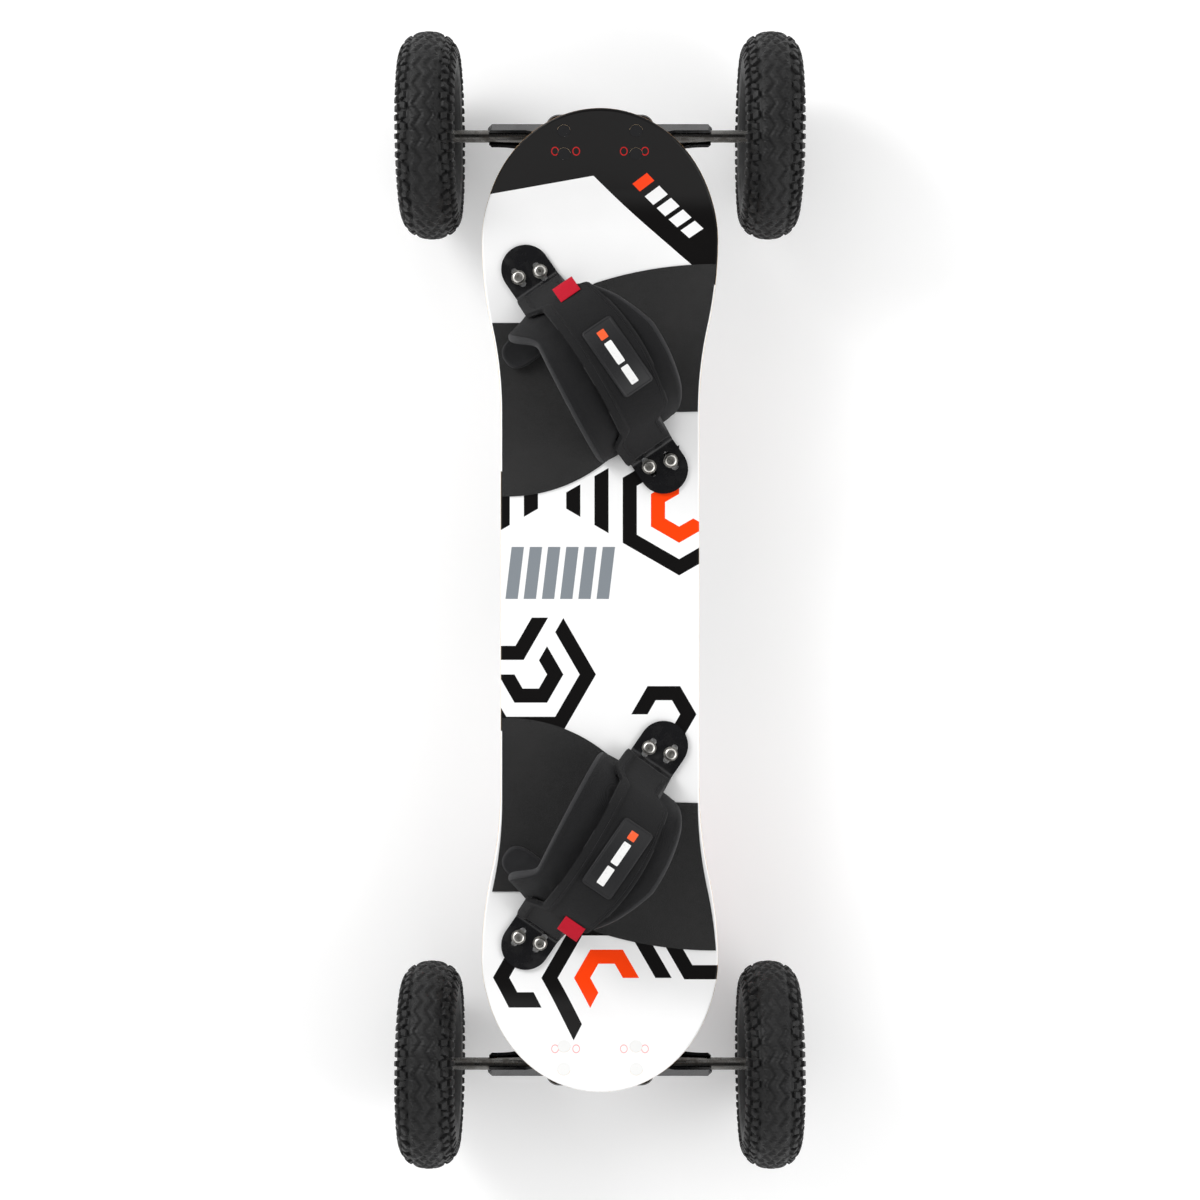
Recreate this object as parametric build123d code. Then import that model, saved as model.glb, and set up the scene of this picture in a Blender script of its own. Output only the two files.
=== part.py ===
"""Unpowered dirt board: a maple deck on two sprung channel trucks, four air tyres and two foot bindings.

Origin on the floor under the deck's centre. +Y points at the nose, +X to the rider's right, +Z up. Millimetres.
"""
from build123d import *
import os
from math import acos, atan2, cos, degrees, hypot, pi, radians, sin, tan

# ---------------------------------------------------------------- driving dimensions
DECK_THICKNESS = 12.0
MIDDLE_ABOVE_AXLES = 22.0  # from the axles up to the flat middle's lower face
WAIST_HALF = 95.5  # half the width of the straight middle
WAIST_STRAIGHT = 180.0  # the middle is straight this far each side of centre
NOSE_RADIUS = 113.6  # also half the widest width
NOSE_SET_BACK = 106.1  # the nose's round starts this far inside the axle
TIP_ANGLE = 35.0
TIP_BEND_RADIUS = 64.0
DECK_EDGE_ROUND = 2.0

WHEELBASE = 905.0
TYRE_RADIUS = 100.0
TYRE_WIDTH = 56.0
WHEEL_OFFSET = 165.0  # wheel's centre plane from the board's centre line
AXLE_TO_TIP = 60.0  # square distance from the axle to the tip's lower face

SHEET = 3.0  # pressed steel of hanger and base plate
HANGER_HALF = 109.5
HANGER_END_CHAMFER = 4.0
CHANNEL_DEPTH = 37.0  # hanger's inner edge from the axle
CHANNEL_EDGE_HALF = 38.0  # half of that straight edge
ROD_RADIUS = 6.0
STUB_START = 52.0
SPINDLE_RADIUS = 4.95
KINGPIN_HEIGHT = 27.0  # kingpin above the axle, square to the tip
KINGPIN_RADIUS = 5.0
KINGPIN_END = -58.0
KINGPIN_HEX, KINGPIN_HEAD, KINGPIN_NUT = 17.0, 6.5, 9.5
KINGPIN_WASHER, KINGPIN_WASHER_THICK = 11.5, 2.0
EAR_RADIUS = 14.0
HANGER_FLARE = 0.1  # slope at which the curves leave the channel's ends
HANGER_SHOULDER = 72.0  # the outer wall starts to rise here
LIP_END = 57.0
SLEEVE_RADIUS = 6.95
BASE_HALF = 51.0
BASE_OUTER = 46.0
BASE_CORNER = 12.0
BASE_EAR_FOOT = 24.0
BASE_EAR_OUTER = 24.0  # inner face of the ear nearest the tip
BUSH_FLANGE = 2.7
BUSH_RADIUS = 11.0
SPRING_X = 32.0
SPRING_RADIUS = 11.5
SPRING_WIRE = 1.75
SPRING_PITCH = 9.0
DAMPER_CLEARANCE = 1.25  # between a damper and the spring round it
SPRING_BOSS = 4.0
SCREW_RADIUS = 4.0
SPRING_HEAD, SPRING_HEAD_DEPTH = 6.5, 4.5
SPRING_NUT, SPRING_NUT_ACROSS = 6.5, 13.0
TRUCK_BOLT_X = 34.0
TRUCK_BOLT_ROWS = (13.0, 36.0)
TRUCK_NUT, TRUCK_NUT_ACROSS = 6.0, 10.0
BOLT_RADIUS = 3.0

BEARING_BORE = 5.0
BEARING_OUTER = 13.0
BEARING_WIDTH = 8.0
HUB_HALF = 21.0
AXLE_WASHER_RADIUS, AXLE_WASHER = 8.5, 1.2
AXLE_NUT, AXLE_NUT_ACROSS, THREAD_SHOWING = 8.5, 16.0, 1.7
HUB_BOSS_RADIUS = 18.0
RIM_INNER = 40.0
RIM_OUTER = 47.0
RIM_FLANGE_RADIUS = 51.5
RIM_FLANGE_IN = 14.5
RIM_FLANGE_OUT = 18.0
SPOKES = 5
SPOKE_WIDTH = 15.0
SPOKE_DEPTH = 9.0
RIB_WIDTH, RIB_DEPTH = 5.0, 5.0
RIM_ROUND = 1.2
SPACER_RADIUS = 7.0
HUB_SCREW_CIRCLE = 31.0
HUB_SCREW_RADIUS = 2.5
HUB_SCREW_HEAD, HUB_NUT_ACROSS = 3.5, 8.0
TYRE_WALL = 5.0
BEAD_TUCK = 0.5  # the oval of the casing reaches this far below the rim
TUBE_WALL = 2.0
VALVE_RADIUS = 4.0
VALVE_END = 27.0

STANCE = 229.5  # binding centres, each side of the stance centre
STANCE_CENTRE = -7.0
BINDING_X = -3.5
BINDING_ANGLE = 34.6  # the foot points this far from straight across
BINDING_BOLT_GAP = 21.5
BINDING_BOLT_TILT = 18.5
BRACKET_WIDTH = 47.0
BRACKET_SHIFT = -2.0
BEND_BEYOND_PAD = 16.0  # each bracket bends upwards this far outside the pad
BOLTS_BEYOND_BEND = 14.25
BRACKET_FOOT = 44.0  # from the bend to the rounded end
PAD_OUTER = 80.0
PAD_THICKNESS = 14.0
PAD_FROM, PAD_TO = -42.0, 63.0  # along the foot, heel side to toe side
STRAP_FROM, STRAP_TO = -7.0, 50.0
STRAP_THICKNESS = 3.0
STRAP_SHORT = 3.0  # the strap's ends stop this far short of the brackets' rounded bend
BADGE_WIDTH, BADGE_LENGTH, BADGE_THICKNESS = 31.0, 73.0, 1.2
BADGE_SHIFT = 3.0  # badge and tab sit this far to the toe side of the strap's middle
TAB_WIDTH, TAB_LENGTH, TAB_THICKNESS = 22.0, 18.0, 1.6
TAB_ANGLE, TAB_DROP = 42.0, 25.0
SLOT_TRAVEL = 14.0
BINDING_WASHER, BINDING_WASHER_THICK, BINDING_HEAD = 7.0, 1.2, 3.6
GRIP_THICKNESS = 1.0
GRIP_EDGE = 1.5  # grip sheet stops this far inside the deck's edge
GRIP_UPPER = (266.0, (-77.0, 266.0), (-4.0, 304.5), (50.0, 317.6), (105.0, 322.5))
GRIP_LOWER = (183.5, (71.0, 180.4), (22.0, 148.2), (-22.0, 115.0), (-95.0, 99.5))

TEE_FLANGE_RADIUS, TEE_FLANGE = 8.0, 1.2
TEE_BARREL_RADIUS, TEE_DEPTH = 4.0, 8.0

SEAT = 0.02  # air under the brackets, which lie flat on the deck
GAP = 0.3  # air between pieces that only lie close
FIT = 0.05  # radial running clearance
LOOSE = 0.2  # radial clearance round a fixed bolt

# ---------------------------------------------------------------- what follows from them
deck_underside = TYRE_RADIUS + MIDDLE_ABOVE_AXLES
deck_top = deck_underside + DECK_THICKNESS
nose_centre = WHEELBASE / 2 - NOSE_SET_BACK
tilt = radians(TIP_ANGLE)
axle_front = Plane(origin=(0, WHEELBASE / 2, TYRE_RADIUS), x_dir=(1, 0, 0), z_dir=(0, -sin(tilt), cos(tilt)))
base_under = AXLE_TO_TIP - SHEET
channel = ROD_RADIUS + SHEET  # outer half width of the channel at its ends
inner_ear = -CHANNEL_DEPTH + SHEET / 2
spring_y = (ROD_RADIUS - CHANNEL_DEPTH + SHEET) / 2
base_ear_inner = -CHANNEL_DEPTH + SHEET + BUSH_FLANGE + GAP
spring_inside = SPRING_RADIUS - SPRING_WIRE
damper_radius = spring_inside - DAMPER_CLEARANCE
bearing_inner = HUB_HALF - BEARING_WIDTH
screw_face = SPOKE_DEPTH + RIB_DEPTH / 2
nut_face = WHEEL_OFFSET + HUB_HALF + GAP
arch_centre = deck_top + GRIP_THICKNESS  # height that the arches are struck from
arm_radius = PAD_OUTER + GAP + SHEET / 2
bracket_bend = PAD_OUTER + BEND_BEYOND_PAD
bracket_end = bracket_bend + BRACKET_FOOT
bend_radius = 2 * SHEET
strap_radius = arm_radius + GAP + (SHEET + STRAP_THICKNESS) / 2
bracket_top = deck_top + SEAT + SHEET
badge_centre = (STRAP_FROM + STRAP_TO) / 2 + BADGE_SHIFT
half_turn = Rot(0, 0, 180)


def plate(sketch, low, high):
    """A sketch in XY as a plate between two heights."""
    return Pos(0, 0, low) * extrude(sketch, high - low)


def rod(radius, start, end, axis="z", bore=0.0):
    """A round bar between two distances along an axis, with a hole through it when bore is given."""
    bar = Cylinder(radius, end - start)
    if bore:
        bar -= Cylinder(bore, end - start)
    turn = {"x": Rot(0, 90, 0), "y": Rot(-90, 0, 0), "z": Rot(0, 0, 0)}[axis]
    return turn * Pos(0, 0, (start + end) / 2) * bar


def hexagon_nut(across, radius, start, end, axis):
    """A nut with chamfered corners and a plain hole."""
    nut = extrude(RegularPolygon(across / 2, 6, major_radius=False), end - start)
    nut &= chamfer(Cylinder(across * 0.575, end - start, align=(Align.CENTER, Align.CENTER, Align.MIN))
                   .edges().filter_by(GeomType.CIRCLE), 0.08 * across)
    nut -= Cylinder(radius, 4 * (end - start))
    turn = {"x": Rot(0, 90, 0), "y": Rot(-90, 0, 0), "z": Rot(0, 0, 0)}[axis]
    return turn * Pos(0, 0, start) * nut


def mirrored(shape):
    """A shape and its mirror image across the board's centre line."""
    return [shape, mirror(shape, Plane.YZ)]


def both_sides(half):
    """A sketch joined to its own mirror image in Y."""
    return half + mirror(half, Plane.YZ)


# ---------------------------------------------------------------- deck
def deck_outline(inset=0.0):
    """Straight waist, two equal arcs out to the widest point, then a half-round nose at each end."""
    waist = WAIST_HALF - inset
    nose = NOSE_RADIUS - inset
    middle = ((waist + nose) / 2, (WAIST_STRAIGHT + nose_centre) / 2)
    edges = []
    for side in (1, -1):
        edges.append(Line((side * waist, -WAIST_STRAIGHT), (side * waist, WAIST_STRAIGHT)))
        for end in (1, -1):
            swell = (side * middle[0], end * middle[1])
            edges.append(TangentArc((side * waist, end * WAIST_STRAIGHT), swell, tangent=(0, end)))
            edges.append(TangentArc((side * nose, end * nose_centre), swell, tangent=(0, -end)))
    for end in (1, -1):
        edges.append(ThreePointArc((nose, end * nose_centre), (0, end * (nose_centre + nose)),
                                   (-nose, end * nose_centre)))
    return make_face(edges)


def deck_profile():
    """Side view: flat middle and both tips turned up, of one thickness all along."""
    under_tip = (WHEELBASE / 2 - AXLE_TO_TIP * sin(tilt), TYRE_RADIUS + AXLE_TO_TIP * cos(tilt))
    under_corner = under_tip[0] - (under_tip[1] - deck_underside) / tan(tilt)
    top_corner = under_corner - DECK_THICKNESS * tan(tilt / 2)
    run = (nose_centre + 2 * NOSE_RADIUS - under_corner) / cos(tilt)

    def line(corner, height, radius):
        tip = (corner + run * cos(tilt), height + run * sin(tilt))
        return FilletPolyline((-tip[0], tip[1]), (-corner, height), (corner, height), tip, radius=radius)

    under = line(under_corner, deck_underside, TIP_BEND_RADIUS + DECK_THICKNESS)
    top = line(top_corner, deck_top, TIP_BEND_RADIUS)
    ends = [Line(under @ 0, top @ 0), Line(under @ 1, top @ 1)]
    return Plane.YZ * make_face([*under.edges(), *top.edges(), *ends])


def rim_edges(body):
    """The edges where the deck's side wall meets its upper and lower faces."""
    walls = [f for f in body.faces() if abs(f.normal_at(f.center()).Z) < 0.01]
    return [e for wall in walls for e in wall.edges() if abs((e % 0.5).Z) < 0.9]


def deck():
    tall = 2 * (AXLE_TO_TIP + TYRE_RADIUS)
    body = extrude(deck_outline(), tall) & extrude(deck_profile(), 2 * NOSE_RADIUS, both=True)
    body = fillet(rim_edges(body), DECK_EDGE_ROUND)
    bolts = [Pos(*place, 0) * truck_bolt(LOOSE) for place in truck_bolt_places()]
    for turn in (Rot(), half_turn):
        for bolt in bolts:
            body -= turn * axle_front.location * bolt
    tee = rod(BOLT_RADIUS + LOOSE, deck_underside - 1, deck_top + 1) + tee_nut(LOOSE)
    front, rear = front_and_rear([Pos(*place, 0) * tee for place in binding_bolt_places()])
    for hole in front + rear:
        body -= hole
    return body


# ---------------------------------------------------------------- trucks, in the frame of one axle
def truck_bolt_places():
    return [(x, y) for x in (-TRUCK_BOLT_X, TRUCK_BOLT_X) for y in TRUCK_BOLT_ROWS]


def truck_bolt(room=0.0):
    """Countersunk bolt from the deck's upper face down through the base plate, standing on its axis."""
    head = AXLE_TO_TIP + DECK_THICKNESS
    bolt = rod(BOLT_RADIUS + room, base_under - TRUCK_NUT - 2 * SHEET, head)
    cone = Cone(BOLT_RADIUS + room, 2 * BOLT_RADIUS + room, BOLT_RADIUS)
    return bolt + Pos(0, 0, head - BOLT_RADIUS / 2) * cone


def hanger_outline():
    """Seen square to the tip: straight outer edge, cut corners, and curves running in to the wide middle."""
    cut = HANGER_END_CHAMFER
    inner_end = (HANGER_HALF - cut, -channel)
    half = [
        Line((0, channel), (HANGER_HALF - cut, channel)),
        Line((HANGER_HALF - cut, channel), (HANGER_HALF, channel - cut)),
        Line((HANGER_HALF, channel - cut), (HANGER_HALF, cut - channel)),
        Line((HANGER_HALF, cut - channel), inner_end),
        TangentArc(inner_end, (CHANNEL_EDGE_HALF, -CHANNEL_DEPTH), tangent=(-1, -HANGER_FLARE)),
        Line((CHANNEL_EDGE_HALF, -CHANNEL_DEPTH), (0, -CHANNEL_DEPTH)),
        Line((0, -CHANNEL_DEPTH), (0, channel)),
    ]
    return both_sides(make_face(half))


def ear(half_foot, foot, radius=EAR_RADIUS):
    """An ear in the (x, height) plane that tapers from its foot to a round end about the kingpin."""
    away = 1 if foot < KINGPIN_HEIGHT else -1
    reach = hypot(half_foot, foot - KINGPIN_HEIGHT)
    lean = atan2(half_foot, abs(foot - KINGPIN_HEIGHT)) + acos(radius / reach)
    touch = (radius * sin(lean), KINGPIN_HEIGHT - away * radius * cos(lean))
    half = [
        Line((0, foot), (half_foot, foot)),
        Line((half_foot, foot), touch),
        ThreePointArc(touch, (radius * sin((lean + pi) / 2), KINGPIN_HEIGHT - away * radius * cos((lean + pi) / 2)),
                      (0, KINGPIN_HEIGHT + away * radius)),
        Line((0, KINGPIN_HEIGHT + away * radius), (0, foot)),
    ]
    return both_sides(make_face(half))


def upright(sketch, start, end):
    """A sketch in (x, height) as a plate square to the kingpin, between two distances along it."""
    return Pos(0, end, 0) * Rot(90, 0, 0) * extrude(sketch, end - start)


def hanger():
    """Pressed channel: flat web, a tall outer wall, low lips at the ends and a folded inner ear."""
    outline = hanger_outline()
    web = plate(outline, -channel, -ROD_RADIUS)
    wall = plate(outline - offset(outline, -SHEET, kind=Kind.INTERSECTION), -channel, KINGPIN_HEIGHT + EAR_RADIUS)
    end = (HANGER_HALF + 1, ROD_RADIUS)
    low = -channel
    outer = [(-end[0], low), (end[0], low), end, (HANGER_SHOULDER, ROD_RADIUS)]
    outer_wall = make_face(Polyline(*outer, (-HANGER_SHOULDER, ROD_RADIUS), (-end[0], ROD_RADIUS), close=True))
    outer_wall += ear(HANGER_SHOULDER, ROD_RADIUS)
    lip = make_face(Polyline((end[0], low), end, (HANGER_HALF - SHEET, ROD_RADIUS), (LIP_END, low), close=True))
    body = web + (wall & upright(outer_wall, 0, channel + 1))
    body += wall & upright(both_sides(lip), -CHANNEL_DEPTH - 1, 0)
    body += upright(ear(CHANNEL_EDGE_HALF, low), -CHANNEL_DEPTH, SHEET - CHANNEL_DEPTH)
    notch = rod(ROD_RADIUS + LOOSE, HANGER_HALF - 2 * SHEET, HANGER_HALF + 1, "x")
    notch += Pos(HANGER_HALF, 0, ROD_RADIUS) * Box(4 * SHEET, 2 * (ROD_RADIUS + LOOSE), 2 * ROD_RADIUS)
    for end in mirrored(notch):
        body -= end
    body -= Pos(0, 0, KINGPIN_HEIGHT) * rod(SLEEVE_RADIUS + FIT, -CHANNEL_DEPTH - 1, channel + 1, "y")
    for x in (-SPRING_X, SPRING_X):
        body -= Pos(x, spring_y, 0) * rod(SCREW_RADIUS + LOOSE, -channel - 1, 0)
    return body


def base_plate():
    """Flat plate under the tip with two ears for the kingpin and a boss that centres each spring."""
    depth = BASE_OUTER - base_ear_inner
    sheet = Pos(0, (BASE_OUTER + base_ear_inner) / 2) * RectangleRounded(2 * BASE_HALF, depth, BASE_CORNER)
    body = plate(sheet, base_under, AXLE_TO_TIP)
    for start in (base_ear_inner, BASE_EAR_OUTER):
        body += upright(ear(BASE_EAR_FOOT, base_under), start, start + SHEET)
    body -= Pos(0, 0, KINGPIN_HEIGHT) * rod(KINGPIN_RADIUS + LOOSE / 2, base_ear_inner - 1, BASE_OUTER, "y")
    for x in (-SPRING_X, SPRING_X):
        body += Pos(x, spring_y, 0) * rod(spring_inside - LOOSE, base_under - SPRING_BOSS, base_under)
    for place in truck_bolt_places():
        body -= Pos(*place, 0) * rod(BOLT_RADIUS + LOOSE, base_under - 1, AXLE_TO_TIP + 1)
    return body


def kingpin():
    start = BASE_EAR_OUTER + SHEET
    head = hexagon_nut(KINGPIN_HEX, KINGPIN_RADIUS / 2, 0, KINGPIN_HEAD, "y")
    shank = rod(KINGPIN_RADIUS, KINGPIN_END, start + KINGPIN_HEAD - 1, "y")
    shank = chamfer(shank.edges().group_by(Axis.Y)[0], 1)
    return Pos(0, 0, KINGPIN_HEIGHT) * (Pos(0, start, 0) * head + shank)


def kingpin_nut():
    seat = -CHANNEL_DEPTH - 2 * GAP
    washer = rod(KINGPIN_WASHER, seat - KINGPIN_WASHER_THICK, seat, "y", KINGPIN_RADIUS + LOOSE / 2)
    nut_start = seat - KINGPIN_WASHER_THICK - KINGPIN_NUT
    nut = hexagon_nut(KINGPIN_HEX, KINGPIN_RADIUS + LOOSE / 2, nut_start, nut_start + KINGPIN_NUT, "y")
    return [Pos(0, 0, KINGPIN_HEIGHT) * part for part in (washer, nut)]


def pivot_bushes():
    """Two flanged sleeves on the kingpin: the hanger's ears turn on them."""
    bore = KINGPIN_RADIUS + LOOSE / 2
    inner = rod(SLEEVE_RADIUS, -CHANNEL_DEPTH - GAP, base_ear_inner, "y", bore)
    inner += rod(BUSH_RADIUS, base_ear_inner - BUSH_FLANGE, base_ear_inner, "y", bore)
    outer = rod(SLEEVE_RADIUS, ROD_RADIUS - GAP, BASE_EAR_OUTER, "y", bore)
    outer += rod(BUSH_RADIUS, channel + GAP, BASE_EAR_OUTER, "y", bore)
    return [Pos(0, 0, KINGPIN_HEIGHT) * part for part in (inner, outer)]


def springs():
    """One coil spring each side, its ends ground flat."""
    low, high = GAP - ROD_RADIUS, base_under
    path = Helix(SPRING_PITCH, high - low + 2 * SPRING_WIRE, SPRING_RADIUS)
    section = Plane(origin=path @ 0, z_dir=path % 0) * Circle(SPRING_WIRE)
    coil = Pos(0, 0, low - SPRING_WIRE) * sweep(section, path=path)
    coil &= rod(SPRING_RADIUS + 2 * SPRING_WIRE, low, high)
    return mirrored(Pos(SPRING_X, spring_y, 0) * coil)


def dampers():
    """Solid rubber rods that stand inside the springs."""
    rubber = rod(damper_radius, SPRING_NUT - ROD_RADIUS + GAP, base_under - SPRING_BOSS)
    return mirrored(Pos(SPRING_X, spring_y, 0) * rubber)


def spring_screws():
    """A round-headed screw from below and a nut inside the channel hold each spring's foot."""
    head = rod(SPRING_HEAD, -channel - SPRING_HEAD_DEPTH, -channel)
    head = fillet(head.edges().group_by(Axis.Z)[0], SPRING_HEAD_DEPTH * 0.6)
    socket = RegularPolygon(SCREW_RADIUS * 0.6, 6, major_radius=False)
    head -= plate(socket, -channel - SPRING_HEAD_DEPTH - 1, -channel - SPRING_HEAD_DEPTH / 2)
    screw = head + rod(SCREW_RADIUS, -channel, SPRING_NUT - ROD_RADIUS)
    nut = hexagon_nut(SPRING_NUT_ACROSS, SCREW_RADIUS + LOOSE / 2, -ROD_RADIUS, SPRING_NUT - ROD_RADIUS, "z")
    return [Pos(x, spring_y, 0) * part for x in (-SPRING_X, SPRING_X) for part in (screw, nut)]


def axle():
    """A stub welded into each end of the channel, turned down for the wheel."""
    shoulder = WHEEL_OFFSET - HUB_HALF - GAP
    end = nut_face + AXLE_WASHER + AXLE_NUT + THREAD_SHOWING
    stub = rod(ROD_RADIUS, STUB_START, shoulder, "x") + rod(SPINDLE_RADIUS, shoulder, end, "x")
    tips = stub.edges().filter_by(GeomType.CIRCLE).group_by(Axis.X)
    return mirrored(chamfer([*tips[0], *tips[-1]], 1))


def axle_nuts():
    bore = SPINDLE_RADIUS + LOOSE / 2
    washer = rod(AXLE_WASHER_RADIUS, nut_face, nut_face + AXLE_WASHER, "x", bore)
    start = nut_face + AXLE_WASHER
    nut = hexagon_nut(AXLE_NUT_ACROSS, bore, start, start + AXLE_NUT, "x")
    return [*mirrored(washer), *mirrored(nut)]


def truck_fixings():
    """Four bolts and four nuts that hold one truck to its tip."""
    nut = hexagon_nut(TRUCK_NUT_ACROSS, BOLT_RADIUS + LOOSE / 2, base_under - TRUCK_NUT, base_under, "z")
    places = [Pos(*place, 0) for place in truck_bolt_places()]
    return [p * truck_bolt() for p in places], [p * nut for p in places]


# ---------------------------------------------------------------- wheels, turned about X at their own centre
def turned(points):
    """A closed (x, radius) outline of straight lines, turned about X."""
    return revolve(make_face(Polyline(*points, close=True)), Axis.X)


def hub_half():
    """Outer half of a two-piece moulded wheel: rim, spokes and bearing housing."""
    seat = BEARING_OUTER
    rim = turned([
        (0, RIM_INNER), (RIM_FLANGE_OUT, RIM_INNER), (RIM_FLANGE_OUT, RIM_FLANGE_RADIUS),
        (RIM_FLANGE_IN, RIM_FLANGE_RADIUS), (RIM_FLANGE_IN, RIM_OUTER), (0, RIM_OUTER),
    ])
    rim = fillet(rim.edges().filter_by(GeomType.CIRCLE).group_by(Axis.X)[-1], RIM_ROUND)
    boss = turned([
        (0, SPACER_RADIUS + LOOSE), (bearing_inner, SPACER_RADIUS + LOOSE), (bearing_inner, seat),
        (HUB_HALF, seat), (HUB_HALF, HUB_BOSS_RADIUS - 2), (HUB_HALF - 2, HUB_BOSS_RADIUS), (0, HUB_BOSS_RADIUS),
    ])
    length = RIM_INNER - HUB_BOSS_RADIUS + 3
    centre = HUB_BOSS_RADIUS + length / 2 - 1.5
    spoke = Pos(SPOKE_DEPTH / 2, centre, 0) * Box(SPOKE_DEPTH, length, SPOKE_WIDTH)
    spoke += Pos(SPOKE_DEPTH + RIB_DEPTH / 2, centre, 0) * Box(RIB_DEPTH, length, RIB_WIDTH)
    spoke -= turned([(-1, 0), (HUB_HALF, 0), (HUB_HALF, HUB_BOSS_RADIUS - 1), (-1, HUB_BOSS_RADIUS - 1)])
    spoke &= rod(RIM_INNER + 1, -1, HUB_HALF, "x")
    pad = Pos(0, HUB_SCREW_CIRCLE, 0) * rod(SPOKE_WIDTH / 2, 0, screw_face, "x")
    hole = Pos(0, HUB_SCREW_CIRCLE, 0) * rod(HUB_SCREW_RADIUS + LOOSE, -1, HUB_HALF, "x")
    body = rim + boss
    for i in range(SPOKES):
        body += Rot(i * 360 / SPOKES, 0, 0) * (spoke + pad)
    hole += Pos(0, HUB_SCREW_CIRCLE, 0) * rod(SPOKE_WIDTH / 2, screw_face, HUB_HALF, "x")
    for i in range(SPOKES):
        body -= Rot(i * 360 / SPOKES, 0, 0) * hole
    return body - valve_stem(LOOSE)


def valve_stem(room=0.0):
    """Halfway between two spokes, from the tube inwards through the rim."""
    stem = rod(VALVE_RADIUS + room, VALVE_END, RIM_OUTER + 2 * TYRE_WALL)
    return Rot(180 / SPOKES - 90, 0, 0) * stem


def hub_screws():
    """Five screws with their heads outside and their nuts inside."""
    face = screw_face
    head = rod(2 * HUB_SCREW_RADIUS, face, face + HUB_SCREW_HEAD, "x")
    head = fillet(head.edges().group_by(Axis.X)[-1], HUB_SCREW_HEAD / 2)
    screw = head + rod(HUB_SCREW_RADIUS, -face - HUB_SCREW_HEAD - 1, face, "x")
    nut = hexagon_nut(HUB_NUT_ACROSS, HUB_SCREW_RADIUS + LOOSE / 2, -face - HUB_SCREW_HEAD, -face, "x")
    turns = [Rot(i * 360 / SPOKES, 0, 0) * Pos(0, HUB_SCREW_CIRCLE, 0) for i in range(SPOKES)]
    return [turn * part for turn in turns for part in (screw, nut)]


def bearings():
    """Two sealed ball bearings and the spacer between them."""
    ring = rod(BEARING_OUTER, bearing_inner, HUB_HALF, "x", BEARING_BORE)
    ring = chamfer(ring.edges().filter_by(GeomType.CIRCLE), 0.4)
    spacer = rod(SPACER_RADIUS, -bearing_inner, bearing_inner, "x", BEARING_BORE + FIT)
    return [*mirrored(ring), spacer]


def tyre_section(shrink):
    """Oval from the rim to the tread, drawn in by a wall's thickness."""
    half_height = (TYRE_RADIUS - RIM_OUTER) / 2 + BEAD_TUCK
    return Pos(0, TYRE_RADIUS - half_height) * Ellipse(TYRE_WIDTH / 2 - shrink, half_height - shrink)


def tyre():
    """Round-shouldered casing whose beads sit between the rim's flanges."""
    section = tyre_section(0) - tyre_section(TYRE_WALL)
    bead_width = 2 * (RIM_FLANGE_IN - GAP)
    floor = RIM_OUTER + GAP
    under_flange = RIM_FLANGE_RADIUS + GAP
    section -= Pos(0, floor / 2) * Rectangle(2 * TYRE_WIDTH, floor)
    section -= Pos(0, under_flange / 2) * (Rectangle(2 * TYRE_WIDTH, under_flange)
                                           - Rectangle(bead_width, under_flange))
    section -= Pos(0, floor) * Rectangle(bead_width - 2 * TYRE_WALL, 4 * TYRE_WALL)
    return revolve(section, Axis.X)


def inner_tube():
    """Air tube just inside the casing, with its valve."""
    outside = TYRE_WALL + GAP
    tube = revolve(tyre_section(outside) - tyre_section(outside + TUBE_WALL), Axis.X)
    stem = valve_stem() - revolve(tyre_section(outside + TUBE_WALL / 2), Axis.X)
    return tube + stem


# ---------------------------------------------------------------- bindings, in the frame of the front foot
def binding_frame():
    """Local X runs along the foot towards the toes, local Y across it towards the nose."""
    return Pos(BINDING_X, STANCE_CENTRE + STANCE, 0) * Rot(0, 0, BINDING_ANGLE)


def front_and_rear(shapes):
    """Shapes made for the front foot, and the same mirrored for the rear foot."""
    stance_plane = Plane(origin=(0, STANCE_CENTRE, 0), z_dir=(0, 1, 0))
    front = [binding_frame() * shape for shape in shapes]
    return front, [mirror(shape, stance_plane) for shape in front]


def binding_bolt_places():
    half = BINDING_BOLT_GAP / 2
    step = (half * cos(radians(BINDING_BOLT_TILT)), half * sin(radians(BINDING_BOLT_TILT)))
    return [(BRACKET_SHIFT + side * step[0], end * (bracket_bend + BOLTS_BEYOND_BEND) - side * step[1])
            for end in (1, -1) for side in (1, -1)]


def tee_nut(room=0.0):
    """Flush flange under the deck and a barrel up into it."""
    flange = rod(TEE_FLANGE_RADIUS + room, deck_underside, deck_underside + TEE_FLANGE + room)
    return flange + rod(TEE_BARREL_RADIUS + room, deck_underside, deck_underside + TEE_DEPTH + room)


def arm_angle():
    """Angle at which a line from the bracket's bend touches the pad's arch; the strap's ends run beside it."""
    return degrees(acos(arm_radius / bracket_bend))


def around(radius, start, end, thickness, low, high):
    """A strip of an arch, from one angle to another, as wide as low to high along the foot."""
    strip = trace(CenterArc((0, arch_centre), radius, start, end - start), thickness)
    return along_foot(strip, low, high)


def along_foot(sketch, low, high):
    """A sketch in (local Y, height) pushed out along the foot."""
    return Pos(low, 0, 0) * extrude(Plane.YZ * sketch, high - low)


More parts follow.
